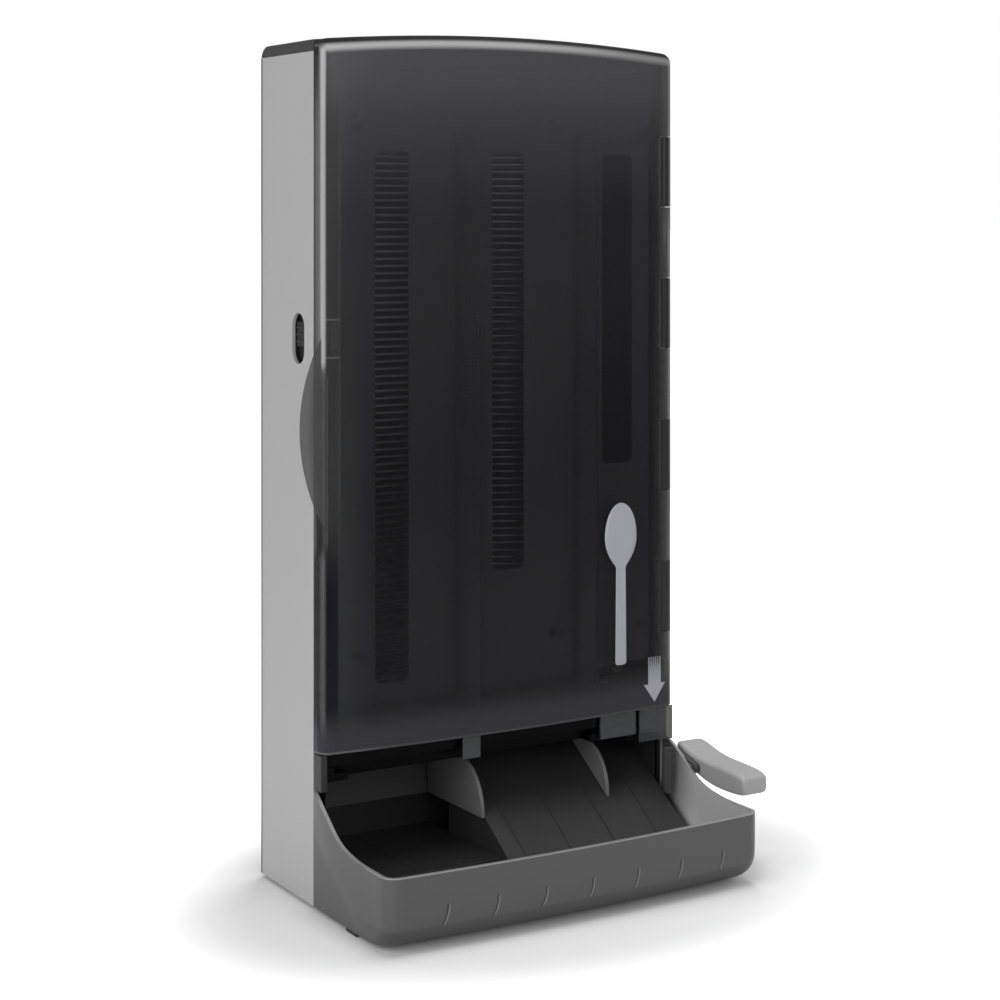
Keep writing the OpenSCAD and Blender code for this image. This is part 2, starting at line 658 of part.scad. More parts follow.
// ---- latch ----
module latch_slider() color([0.12, 0.12, 0.13]) union() {
    slab(latch_plate_x, latch_plate_x + latch_plate_t, catch_y, latch_y + 12, latch_z - 16, latch_z + 22);
    slab(latch_plate_x, latch_plate_x + 7, spring_y - 4, spring_y + 4, latch_z - 16, latch_z - 14);
    // thumb piece in the side opening
    slab(-inner_w + 0.4, latch_plate_x + 0.5, latch_y - 8, latch_y + 8, latch_z - 6, latch_z + 12);
    for (z = [latch_z - 2, latch_z + 3, latch_z + 8])
        slab(-inner_w - 0.8, -inner_w + 1, latch_y - 7, latch_y + 7, z - 0.8, z + 0.8);
    // catch in front of the hook's barb
    slab(latch_plate_x, hook_x + hook_w, catch_y, catch_y + catch_t, hook_z - 14, hook_z - 1.5);
}

module latch_seat() color("dimgray") union() {
    slab(-cheek_in + gap, -cheek_in + 8, spring_y - 5, spring_y + 5, latch_z - 42, latch_z - 38);
    slab(-cheek_in, -cheek_in + gap + 0.2, spring_y - 5, spring_y + 5, latch_z - 42, latch_z - 30);
    rod_z(latch_z - 39, latch_z - 32, latch_plate_x + 3.6, spring_y, 1.4);
}

module latch_spring() color("silver") difference() {
    rod_z(latch_z - 37.7, latch_z - 16.3, latch_plate_x + 3.6, spring_y, 3);
    rod_z(latch_z - 39, latch_z - 15, latch_plate_x + 3.6, spring_y, 2.2);
}

// ---- lever and drive ----
// Stations along the pad: share of its length, underside, top, and how much the ends draw in
pad_y0 = -4;
pad_stations = [[0, 77, 80.5, 5], [0.02, 75.5, 81.4, 2.2], [0.06, 73.5, 81.6, 0.8], [0.12, 69.6, 80.4, 0],
    [0.22, 64.6, 77.8, 0], [0.34, 60.2, 75.6, 0], [0.5, 57, 74.4, 0], [0.68, 56, 74.2, 0],
    [0.84, 56.4, 73.6, 0], [0.93, 57, 72.8, 0.6], [0.98, 58, 71.8, 2], [1, 60.5, 69.5, 4.6]];
pad_round = 3.6;
pad_sides = 5;                              // points in each rounded edge
function pad_ring(s) = let (r = min(pad_round, (s[2] - s[1]) / 2 - 0.05), y = pad_y0 - s[0] * pad_l)
    [for (c = [0:3]) let (cx = c == 0 || c == 3 ? pad_x1 - s[3] - r : pad_x0 + s[3] * 0.4 + r,
        cz = c < 2 ? s[2] - r : s[1] + r)
        for (i = [0:pad_sides - 1]) let (a = c * 90 + i * 90 / (pad_sides - 1))
            [cx + r * cos(a), y, cz + r * sin(a)]];
module loft(rings) {
    n = len(rings[0]);
    m = len(rings);
    polyhedron(points = [for (ring = rings) each ring], faces = concat(
        [[for (i = [n - 1:-1:0]) i]],
        [for (k = [0:m - 2]) for (i = [0:n - 1]) let (j = (i + 1) % n) [k * n + i, k * n + j, (k + 1) * n + i]],
        [for (k = [0:m - 2]) for (i = [0:n - 1]) let (j = (i + 1) % n) [k * n + j, (k + 1) * n + j, (k + 1) * n + i]],
        [[for (i = [0:n - 1]) (m - 1) * n + i]]), convexity = 4);
}
module lever_pad() color("lightgray") loft([for (s = pad_stations) pad_ring(s)]);

module lever_arm() color("dimgray") difference() {
    union() {
        along_x(arm_x0, arm_x1) union() {
            hull() { translate([lever_y, lever_z]) circle(r = 11); translate(elbow) circle(r = 6.5); }
            hull() { translate(elbow) circle(r = 6.5); translate(root) circle(r = 4.5); }
            hull() { translate(root) circle(r = 4.5); translate(tang) circle(r = 4); }
        }
        rod_x(arm_x0, arm_x1 + arm_boss, lever_y, lever_z, 9);
    }
    rod_x(arm_x0 - 1, arm_x1 + arm_boss + 1, lever_y, lever_z, shaft_r + slip);
    for (t = arm_screws) rod_x(arm_x0 - 1, arm_x1 + 1, mix(root[0], tang[0], t), mix(root[1], tang[1], t),
        arm_screw_r + slip);
}

module lever_shaft() color("silver") rod_x(drive_x - 2, arm_x1 + arm_boss, lever_y, lever_z, shaft_r);

module lever_cap() color([0.15, 0.15, 0.15])
    rod_x(arm_x1 + arm_boss, arm_x1 + arm_boss + 2, lever_y, lever_z, 7);

module bush(x0, x1, flange_x) difference() {
    union() {
        rod_x(x0, x1, lever_y, lever_z, bush_r);
        rod_x(flange_x, flange_x + 1, lever_y, lever_z, bush_r + 2);
    }
    rod_x(x0 - 1, x1 + 1, lever_y, lever_z, shaft_r + slip);
}
module shaft_bush_outer() color("white") bush(cheek_in - 1, half_w + 0.8, cheek_in - 1 - slip);
module shaft_bush_inner() color("white") bush(drive_x - 0.5, drive_x + 6, drive_x + 5 + slip);

// Straight-flanked teeth: half widths at root, pitch line and tip
tooth_add = tooth_m;
tooth_ded = tooth_m * 1.25;
pitch_len = PI * tooth_m;
half_tooth = pitch_len / 4 - backlash / 4;
flank = tan(20);
module tooth(base, sharp) polygon([[-base, -half_tooth - tooth_ded * flank * sharp],
    [tooth_ded, -half_tooth], [tooth_ded + tooth_add * 0.9, -half_tooth + tooth_add * flank * 1.25],
    [tooth_ded + tooth_add * 0.9, half_tooth - tooth_add * flank * 1.25], [tooth_ded, half_tooth],
    [-base, half_tooth + tooth_ded * flank * sharp]]);

module pinion() color("white") difference() {
    union() {
        translate([sector_x - 1, pinion_y, pinion_z]) rotate([mesh_angle + 180, 0, 0]) rotate([90, 0, 90])
            linear_extrude(2 * gear_t + 4) union() {
                circle(r = pitch_r - tooth_ded);
                for (i = [0:pinion_n - 1]) rotate(i * 360 / pinion_n + 180 / pinion_n)
                    translate([pitch_r - tooth_ded, 0]) tooth(1, 0.2);
            }
    }
    rod_x(sector_x - 2, sector_x + 2 * gear_t + 4, pinion_y, pinion_z, pinion_shaft_r + slip);
}

module pinion_shaft() color("silver") rod_x(drive_x + 0.5, cheek_out, pinion_y, pinion_z, pinion_shaft_r);

sector_teeth = 5;
module drive_sector() color("white") difference() {
    union() {
        translate([sector_x, lever_y, lever_z]) rotate([mesh_angle, 0, 0]) rotate([90, 0, 90])
            linear_extrude(gear_t) union() {
                circle(r = 10);
                intersection() {
                    circle(r = sector_r - tooth_ded);
                    polygon([[0, 0], [60, -34], [60, 34]]);
                }
                for (i = [-(sector_teeth - 1) / 2:(sector_teeth - 1) / 2]) rotate(i * 360 / sector_n)
                    translate([sector_r - tooth_ded, 0]) tooth(1, 0.6);
            }
        rod_x(sector_x - 4, sector_x + 1, lever_y, lever_z, 8);
    }
    rod_x(sector_x - 5, sector_x + gear_t + 1, lever_y, lever_z, shaft_r + slip);
}

module return_spring() color("silver") difference() {
    rod_x(spring_x0, spring_x0 + 16, lever_y, lever_z, shaft_r + gap + 1.6);
    rod_x(spring_x0 - 1, spring_x0 + 17, lever_y, lever_z, shaft_r + gap);
}

// A rack along Y with its teeth up (way = 1) or down (way = -1), teeth first..last from the pinion
module rack(pitch_z, way, thick, first, last) along_x(rack_x, rack_x + gear_t)
    translate([pinion_y - way * -rack_shift, pitch_z]) scale([1, way]) union() {
        translate([(first - 0.5) * pitch_len, -tooth_ded - thick])
            square([(last - first + 1) * pitch_len, thick + 0.01]);
        for (i = [first:last]) translate([pitch_len * i, -tooth_ded]) rotate(90) tooth(0.5, 1);
    }
high_rack_h = 4;
low_rack_h = low_pitch_z - tooth_ded - low_gate_z;
high_rack_z = high_pitch_z + tooth_ded;
rack_front = pinion_y - 6;                  // where a gate's side arm runs into its rack

module lower_gate() color([0.1, 0.1, 0.11]) union() {
    z = low_gate_z;
    slab(low_gate_x0, gate_x1, low_bar_y, low_bar_y + bar_w, z, z + gate_t);
    slab(low_gate_x0, drive_x - 1, low_bar_y, low_bar_y + gate_t, z, high_gate_z - 1.2);
    slab(guide_x0 - 7, drive_floor_x - gap, low_bar_y, low_bar_y + gate_t, z - gate_drop, z + 0.1);
    slab(tongue_bowl[0], tongue_bowl[1], low_bar_y, bowl_front + low_reach, z, z + gate_t);
    slab(tongue_handle[0], tongue_handle[1], low_bar_y, handle_front + low_reach, z, z + gate_t);
    slab(rack_x, rack_x + gear_t, low_bar_y, rack_front, z, z + low_rack_h);
    rack(low_pitch_z, 1, low_rack_h, -1, 2);
}

module upper_gate() color([0.1, 0.1, 0.11]) union() {
    z = high_gate_z;
    slab(high_gate_x0, drive_x + 8, high_bar_y, high_bar_y + bar_w, z, z + gate_t);
    slab(high_gate_x0, drive_x - 1, high_bar_y, high_bar_y + gate_t, z, cover_z0 - 1.6);
    slab(tongue_bowl[0], tongue_bowl[1], high_bar_y, bowl_front + high_reach, z, z + gate_t);
    slab(tongue_handle[0], tongue_handle[1], high_bar_y, handle_front + high_reach, z, z + gate_t);
    slab(drive_x + 5, drive_x + 8, high_bar_y, high_bar_y + bar_w, z, high_rack_z + high_rack_h);
    slab(drive_x + 5, rack_x + gear_t, high_bar_y, high_bar_y + bar_w, high_rack_z, high_rack_z + high_rack_h);
    slab(rack_x, rack_x + gear_t, high_bar_y, rack_front - 6, high_rack_z, high_rack_z + high_rack_h);
    rack(high_pitch_z, -1, high_rack_h, -2, 1);
}

// ---- tray ----
// Sweep of the side walls: distance from the housing and share of the rise
lip_sweep = [[-86, 0], [-72, 0.02], [-60, 0.07], [-51, 0.13], [-44, 0.21], [-37, 0.33], [-30, 0.49], [-20, 0.7],
    [-12, 0.86], [-6, 0.96], [0, 1]];
lip_curve = [for (p = lip_sweep) [p[0], mix(lip_z, tray_top, p[1])]];

module tray_skin(cut) hull() {
    for (t = [-1, -0.5, 0, 0.5, 1]) {
        x = t * (tray_half - tray_corner);
        y = -tray_front - tray_bow * (1 - t * t);
        rod_z(tray_z0 + tray_r, tray_z0 + 3 * tray_r, x, y + tray_corner, tray_corner - cut, $fn = 32);
        rod_x(x - 1, x + 1, y + tray_r, tray_z0 + tray_r, tray_r - cut, $fn = 32);
    }
    along_x(-half_w + cut, half_w - cut) polygon([[-gap - cut, tray_z0 + cut],
        [crease_y + cut, tray_z0 + cut], [-10, tray_top + 6], [-gap - cut, tray_top + 6]]);
}

module tray() color([0.35, 0.35, 0.35]) difference() {
    union() {
        tray_skin(0);
        slab(-box_w, box_w, -gap - 1, box_y1, box_z0, tray_top);
    }
    tray_skin(tray_t);
    slab(-box_w + tray_t, box_w - tray_t, -6, box_y1 - tray_t, box_z0 + tray_t, tray_top + 10);
    slab(-box_w + tray_t, box_w - tray_t, box_y1 - tray_t - 1, box_y1 + 1, well_back, tray_top + 10);
    for (x = [-1, 1]) rod_z(box_z0 - 1, box_z0 + tray_t + 1, x * tray_screw_x, tray_screw_y, tray_screw_r + slip);
    // sweep of the side walls down to the lip
    along_x(-tray_half - 10, tray_half + 10) polygon(concat([[-tray_front - 20, lip_z]], lip_curve,
        [[0, tray_top], [1, tray_top], [1, tray_top + 60], [-tray_front - 20, tray_top + 60]]));
}

module deck() color([0.12, 0.12, 0.12]) union() {
    along_x(deck_x0, deck_x1) polygon([[deck_y1, deck_top(deck_y1)], [deck_y0, deck_top(deck_y0)],
        [deck_y0, deck_top(deck_y0) - deck_t * 1.2], [deck_y1, deck_top(deck_y1) - deck_t * 1.2]]);
    for (i = [0:3]) along_x(i * rib_pitch - 0.8, i * rib_pitch + 0.8) polygon([[6, deck_top(6) - 0.5],
        [4, deck_top(4) + 0.8], [deck_y0, deck_top(deck_y0) + 0.8], [deck_y0, deck_top(deck_y0) - 0.5]]);
    // skirt beside the well
    along_x(deck_x0, deck_x0 + 2) polygon([[deck_y1, deck_top(deck_y1) - 1], [deck_y0, deck_top(deck_y0) - 1],
        [deck_y0, deck_top(deck_y0) - deck_t], [deck_y0 + 12, deck_base], [deck_y1, deck_base]]);
    slab(deck_x0, deck_x1, deck_y1 - 0.1, deck_y1 + 2, deck_base, deck_top(deck_y1));
}

module well_floor() color([0.12, 0.12, 0.12]) union() {
    slab(-box_w + tray_t + gap, deck_x0 - gap, -34, box_y1 - tray_t - gap, well_z - 2, well_z);
    slab(-box_w + tray_t + gap, deck_x0 - gap, -34, -32, box_z0 + tray_t, well_z);
    slab(-box_w + tray_t + gap, deck_x0 - gap, box_y1 - tray_t - gap - 2, box_y1 - tray_t - gap, box_z0 + tray_t,
        well_z);
    for (x = [-box_w + 28:well_rib_pitch:deck_x0 - 20]) slab(x - 0.7, x + 0.7, -30, box_y1 - 12, well_z - 0.5,
        well_z + 0.6);
}

// Fin: the front edge is a quarter of an ellipse that stands on the deck
fin_y = [-9.5, 22];                         // front tip and the point where the edge levels out
fin_top = tray_top + 0.6;
fin_end = deck_y1 - 1;
fin_foot = deck_top(fin_y[0]) + 0.1;
fin_sides = 12;                             // straight pieces in the curved edge
fin_curve = [for (i = [0:fin_sides]) let (a = i * 90 / fin_sides)
    [fin_y[1] - (fin_y[1] - fin_y[0]) * cos(a), fin_foot + (fin_top - fin_foot) * sin(a)]];
// The left fin is the front end of the partition beside the well
module fin_left() color("gray") along_x(deck_x0 - fin_t, deck_x0) polygon(concat([[box_y1 - tray_t - gap, fin_foot]],
    fin_curve, [[box_y1 - tray_t - gap, fin_top]]));
module fin_right() color("gray") along_x(fin_x + fin_pitch - fin_t / 2, fin_x + fin_pitch + fin_t / 2)
    polygon(concat([[fin_end, deck_top(fin_end) + 0.1]], fin_curve, [[fin_end, fin_top]]));

// Screws through the tray's floor into the base frame
module tray_screws() color("silver") for (s = [-1, 1]) {
    rod_z(box_z0 + tray_t, box_z0 + tray_t + 2, s * tray_screw_x, tray_screw_y, 4);
    rod_z(base_z + 0.5, box_z0 + tray_t + 1, s * tray_screw_x, tray_screw_y, tray_screw_r);
}

// Post beside the deck that carries the outlet frame's right end
module guard_post() color([0.3, 0.3, 0.32])
    slab(deck_x1 - 9, deck_x1 - 1, 26, 36, deck_top(36) + gap, ledge_z0 - 2);

// Clear corner piece at the right of the outlet, fixed to the inner frame plate
module outlet_ear() color([0.6, 0.6, 0.62]) union() {
    slab(cheek_in, cheek_out, -ear_y, cheek_y0, cheek_z0, ear_z1);
    slab(cheek_in - 9, half_w - 0.4, -ear_y, -ear_y + 1.4, cheek_z0, ear_z1);
}

// Half-round column in the tray's rear right corner
column_r = 4;
column_y = -17;
module corner_column() color([0.25, 0.25, 0.26]) union() {
    rod_z(deck_top(column_y + column_r) + 1.2, lip_z + 27, deck_x1 + 1, column_y, column_r);
    slab(deck_x1 + 1, half_w - tray_t, column_y - 1, column_y + 1, deck_z, lip_z + 16);
}

// ---- fasteners ----
module back_screws() color("silver") for (s = [-1, 1]) for (z = screw_rows) {
    rod_y(back_y - head_t, back_y, s * screw_x, z, head_r);
    rod_y(back_y - screw_len, back_y - head_t + 0.1, s * screw_x, z, screw_r);
}
module cap_screws() color("silver") for (s = [-1, 1]) for (y = cap_screw_y) {
    rod_z(plate_z - 2, plate_z, s * cap_screw_x, y, 2.8);
    rod_z(plate_z - 1, plate_z + cap_screw_len - gap, s * cap_screw_x, y, cap_screw_r);
}
module liner_screws() color("silver") for (x = liner_screw_x) for (z = liner_screw_z) {
    rod_y(liner_y + liner_t, liner_y + liner_t + 1.4, x, z, 2.6);
    rod_y(liner_y - 4.5, liner_y + liner_t + 0.5, x, z, 0.95);
}
module lever_screws() color("silver") for (t = arm_screws) {
    rod_x(arm_x0 - 1, arm_x0, mix(root[0], tang[0], t), mix(root[1], tang[1], t), 2.4);
    rod_x(arm_x0 - 0.5, arm_x1, mix(root[0], tang[0], t), mix(root[1], tang[1], t), arm_screw_r);
}
module strip_screws() color("silver") for (z = strip_screw_z)
    rod_y(strip_y0, strip_y0 + strip_screw_len, strip_screw_x, z, strip_screw_r);

placed() back_plate();
placed() left_panel();
placed() right_panel();
placed() top_cap();
placed() top_plate();
placed() base_frame();
placed() left_cheek();
placed() right_cheek();
placed() outlet_frame();
placed() outlet_back();
placed() feet();
placed() magazine_back();
placed() stack_guide_left();
placed() stack_guide_right();
placed() drive_wall();
placed() spoon_stack();
placed() hinge_strip();
placed() hinge_pin();
placed() front_cover();
placed() door_liner();
placed() door_guides();
placed() door_guard();
placed() door_hook();
placed() spoon_icon();
placed() arrow_icon();
placed() latch_slider();
placed() latch_spring();
placed() latch_seat();
placed() lever_pad();
placed() lever_arm();
placed() lever_shaft();
placed() lever_cap();
placed() shaft_bush_outer();
placed() shaft_bush_inner();
placed() drive_sector();
placed() return_spring();
placed() pinion();
placed() pinion_shaft();
placed() upper_gate();
placed() lower_gate();
placed() tray();
placed() deck();
placed() well_floor();
placed() fin_left();
placed() fin_right();
placed() back_screws();
placed() cap_screws();
placed() liner_screws();
placed() lever_screws();
placed() strip_screws();
placed() guard_post();
placed() tray_screws();
placed() outlet_ear();
placed() corner_column();
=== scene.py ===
import bpy, bmesh, json, math
from mathutils import Matrix, Vector

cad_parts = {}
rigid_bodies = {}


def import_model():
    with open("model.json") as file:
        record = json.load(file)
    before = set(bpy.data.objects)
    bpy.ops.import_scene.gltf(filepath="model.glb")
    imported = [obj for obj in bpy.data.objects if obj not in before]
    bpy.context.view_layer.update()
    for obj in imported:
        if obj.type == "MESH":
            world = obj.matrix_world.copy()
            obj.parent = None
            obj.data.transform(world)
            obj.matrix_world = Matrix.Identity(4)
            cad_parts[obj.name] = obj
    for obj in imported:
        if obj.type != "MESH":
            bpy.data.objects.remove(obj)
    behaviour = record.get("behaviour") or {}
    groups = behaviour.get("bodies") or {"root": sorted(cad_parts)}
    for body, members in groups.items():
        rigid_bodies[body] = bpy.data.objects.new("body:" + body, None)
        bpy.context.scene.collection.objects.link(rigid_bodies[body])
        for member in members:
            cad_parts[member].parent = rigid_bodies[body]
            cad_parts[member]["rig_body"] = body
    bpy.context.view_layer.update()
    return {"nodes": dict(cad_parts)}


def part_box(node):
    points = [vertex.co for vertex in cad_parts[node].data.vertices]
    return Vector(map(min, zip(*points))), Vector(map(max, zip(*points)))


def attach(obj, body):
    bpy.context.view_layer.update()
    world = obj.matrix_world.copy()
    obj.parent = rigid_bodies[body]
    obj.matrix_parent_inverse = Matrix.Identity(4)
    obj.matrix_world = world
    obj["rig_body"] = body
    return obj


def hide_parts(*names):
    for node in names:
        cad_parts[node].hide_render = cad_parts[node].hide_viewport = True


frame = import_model()
nodes = frame["nodes"]
print("frame loaded:", len(nodes), "nodes")

# The housing's own frame: X = 0 in the middle, Y = 0 on the side panels' front edge, millimetres
housingDepth = 90
plateLow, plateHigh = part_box("back_plate")
shiftX = (plateLow.x + plateHigh.x) / 2
shiftY = plateHigh.y - housingDepth / 1000
toRow = Matrix.Translation((shiftX, shiftY, 0)) @ Matrix.Scale(0.001, 4)


def at(x, y, z):
    return Vector((x / 1000 + shiftX, y / 1000 + shiftY, z / 1000))


def grey(v):
    return (v, v, v, 1)


def shade(colour, factor):
    return tuple(c * factor for c in colour[:3]) + (1,)


class Field:  # wraps a socket, so that sums and products on it add Math nodes
    def __init__(self, owner, socket):
        self.owner, self.socket = owner, socket

    def calc(self, operation, other, swapped=False):
        pair = (other, self) if swapped else (self, other)
        return self.owner.add("ShaderNodeMath", {"operation": operation}, {0: pair[0], 1: pair[1]})

    def __add__(self, other):
        return self.calc("ADD", other)

    def __radd__(self, other):
        return self.calc("ADD", other, True)

    def __sub__(self, other):
        return self.calc("SUBTRACT", other)

    def __rsub__(self, other):
        return self.calc("SUBTRACT", other, True)

    def __mul__(self, other):
        return self.calc("MULTIPLY", other)

    def __rmul__(self, other):
        return self.calc("MULTIPLY", other, True)

    def __truediv__(self, other):
        return self.calc("DIVIDE", other)


class Nodes:  # adds each node from its type, its settings and the values or links of its sockets
    def __init__(self, tree):
        self.tree = tree

    def connect(self, socket, value):
        if isinstance(value, Field):
            self.tree.links.new(value.socket, socket)
        else:
            socket.default_value = value

    def add(self, kind, settings, inputs, output=0):
        node = self.tree.nodes.new(kind)
        for key, value in settings.items():
            setattr(node, key, value)
        for key, value in inputs.items():
            self.connect(node.inputs[key], value)
        return Field(self, node.outputs[output])

    def smooth(self, value, low, high, fromLow=0.0, fromHigh=1.0):
        return self.add("ShaderNodeMapRange", {"interpolation_type": "SMOOTHSTEP"},
                        {0: value, 1: low, 2: high, 3: fromLow, 4: fromHigh})

    def until(self, value, low, high):
        return self.smooth(value, low, high, 1, 0)

    def within(self, value, riseFrom, riseTo, fallFrom, fallTo):
        return self.smooth(value, riseFrom, riseTo) * self.until(value, fallFrom, fallTo)


# Camera, light and floor
stage = {
    "cameraPlace": (-811.9, -1359.8, 500.0),
    "cameraTurn": 30.91,
    "sensor": 36,
    "lens": 75.92,
    "shiftDown": 0.29,
    "farthest": 150,
    "floorHalf": 40,
    "floorColour": 0.86,
    "glossyShare": 0.1,  # how much of the white background the reflections show
    "floorGlow": 0.03,  # near the object; far away the floor is as white as the backdrop
    "farGlow": 1.0,
    "nearReach": 0.15,
    "farReach": 0.29,
    "glowShape": (0.72, 1, 1),
    "worldStrength": 0.3,
    "softboxes": [  # name, place, aimed at, width, height, watts
        ("leftBox", (-1300, -500, 620), (-150, 0, 300), 0.9, 1.3, 11),
        ("topBox", (150, 80, 1500), (140, 60, 0), 0.5, 1.6, 14),
        ("rightBox", (1500, -150, 700), (100, 0, 300), 0.8, 1.2, 5),
        ("frontBox", (-100, -1900, 900), (0, 0, 250), 1.2, 0.8, 5),
    ],
}


def makeCamera():
    data = bpy.data.cameras.new("camera")
    cam = bpy.data.objects.new("camera", data)
    bpy.context.scene.collection.objects.link(cam)
    cam.location = at(*stage["cameraPlace"])
    cam.rotation_euler = (math.radians(90), 0, -math.radians(stage["cameraTurn"]))
    data.sensor_width = stage["sensor"]
    data.lens = stage["lens"]
    data.shift_y = -stage["shiftDown"]
    data.clip_end = stage["farthest"]
    bpy.context.scene.camera = cam


def makeLights():
    for name, place, aim, width, height, watts in stage["softboxes"]:
        data = bpy.data.lights.new(name, "AREA")
        data.shape = "RECTANGLE"
        data.size, data.size_y = width, height
        data.energy = watts
        box = bpy.data.objects.new(name, data)
        bpy.context.scene.collection.objects.link(box)
        box.location = at(*place)
        box.rotation_euler = (at(*aim) - at(*place)).to_track_quat("-Z", "Y").to_euler()


def seenDirectly(f):
    # 1 for rays that see the background, a small share for reflections, 0 for the light on the object
    most = f.add("ShaderNodeLightPath", {}, {}, "Is Glossy Ray") * stage["glossyShare"]
    for kind in ("Is Camera Ray", "Is Transmission Ray"):
        ray = f.add("ShaderNodeLightPath", {}, {}, kind)
        most = f.add("ShaderNodeMath", {"operation": "MAXIMUM"}, {0: most, 1: ray})
    return most


def floorFinish():
    material = bpy.data.materials.new("floorPaper")
    material.use_nodes = True
    material.node_tree.nodes.clear()
    f = Nodes(material.node_tree)
    place = f.add("ShaderNodeTexCoord", {}, {}, "Object")
    shaped = f.add("ShaderNodeVectorMath", {"operation": "MULTIPLY"}, {0: place, 1: stage["glowShape"]})
    away = f.add("ShaderNodeVectorMath", {"operation": "LENGTH"}, {0: shaped}, "Value")
    reach = f.smooth(away, stage["nearReach"], stage["farReach"], stage["floorGlow"], stage["farGlow"])
    paper = f.add("ShaderNodeBsdfDiffuse", {}, {"Color": grey(stage["floorColour"])})
    glow = f.add("ShaderNodeEmission", {}, {"Strength": seenDirectly(f) * reach})
    result = f.tree.nodes.new("ShaderNodeOutputMaterial")
    f.connect(result.inputs["Surface"], f.add("ShaderNodeAddShader", {}, {0: paper, 1: glow}))
    return material


def makeStage():
    bm = bmesh.new()
    bmesh.ops.create_grid(bm, x_segments=1, y_segments=1, size=stage["floorHalf"])
    floor = finishMesh("floor", bm)
    floor.data.materials.append(floorFinish())
    world = bpy.data.worlds.new("studio")
    bpy.context.scene.world = world
    world.use_nodes = True
    f = Nodes(world.node_tree)
    back = f.tree.nodes["Background"]
    level = stage["worldStrength"]
    f.connect(back.inputs["Strength"], seenDirectly(f) * (1 - level) + level)
    f.connect(back.inputs["Color"], grey(1))


# Noise scale, detail, roughness and stretch of the patterns that the finishes share
patterns = {
    "broad": (14, 4, 0.5, None), "fine": (2600, 2, 0.5, None), "haze": (9, 5, 0.6, None),
    "rub": (60, 4, 0.65, (1, 1, 0.25)), "streak": (900, 3, 0.6, None), "ink": (900, 2, 0.5, None),
    "edge": (40, 3, 0.5, None),
}


class Finish(Nodes):  # one procedural material around a Principled shader
    def __init__(self, name, **values):
        self.material = bpy.data.materials.new(name)
        self.material.use_nodes = True
        super().__init__(self.material.node_tree)
        self.shader = self.tree.nodes["Principled BSDF"]
        for key, value in values.items():
            self.put(key, value)
        self.place = self.add("ShaderNodeTexCoord", {}, {}, "Object")

    def put(self, key, value):
        self.connect(self.shader.inputs[key], value)

    def noise(self, pattern):
        scale, detail, roughness, stretch = patterns[pattern]
        place = self.place
        if stretch:
            place = self.add("ShaderNodeMapping", {}, {"Vector": place, "Scale": stretch})
        return self.add("ShaderNodeTexNoise", {},
                        {"Vector": place, "Scale": scale, "Detail": detail, "Roughness": roughness})

    def part(self, axis):
        return self.add("ShaderNodeSeparateXYZ", {}, {"Vector": self.place}, axis)

    def across(self):
        return self.part(0) - shiftX

    def depth(self):
        return self.part(1) - shiftY

    def blendColours(self, factor, first, second):
        return self.add("ShaderNodeMix", {"data_type": "RGBA"}, {0: factor, 6: first, 7: second}, 2)

    def bump(self, height, distance, strength=1.0):
        self.put("Normal", self.add("ShaderNodeBump", {},
                                    {"Strength": strength, "Distance": distance, "Height": height}))


# Moulded plastic: shares of the patterns in its roughness, and its relief in metres
moulded = {"base": -0.05, "broadShare": 0.06, "fineShare": 0.05, "relief": 0.00004}


def mouldedPlastic(name, colour, roughness, mottle=0.06, **values):
    # matte moulded plastic: slight unevenness, fine spark texture
    f = Finish(name, **values)
    m = moulded
    broad, fine = f.noise("broad"), f.noise("fine")
    f.put("Base Color", f.blendColours(broad, shade(colour, 1 - mottle), shade(colour, 1 + mottle)))
    f.put("Roughness", roughness + m["base"] + broad * m["broadShare"] + fine * m["fineShare"])
    f.bump(fine, m["relief"])
    return f.material


# Tray finish: short curved grooves above the bend of its front with painted shade in them and a painted
# highlight beside them, painted shade on the rolled underside, a painted highlight on the lip, painted light
# on the inner side wall
trayLook = {
    "gloss": 0.6, "uneven": 0.05, "roughness": 0.3, "broadShare": 0.06, "fineShare": 0.04,
    "first": -111.1, "pitch": 38.45, "low": 18.5, "high": 31.5, "curve": 3.5,
    "rise": (-0.04, 0.04, 1.0, 1.05), "left": (-0.125, -0.123), "right": (0.123, 0.125),
    "ahead": (-0.1, -0.098), "groove": (0.3, 0.9), "grooveHighlightSide": (0.3, 0.9, 1.2, 2.0),
    "paintedGrooveShade": 0.25, "paintedGrooveHighlight": 2.6, "front": (-0.11, -0.06), "bend": (16.5, 19), "paintedBendShade": 0.62,
    "lip": (53.2, 53.7), "lipAhead": (-0.09, -0.084), "paintedLipHighlight": 5,
    "inside": (-0.005, -0.045), "fineRelief": 0.04, "relief": 0.0008,
}


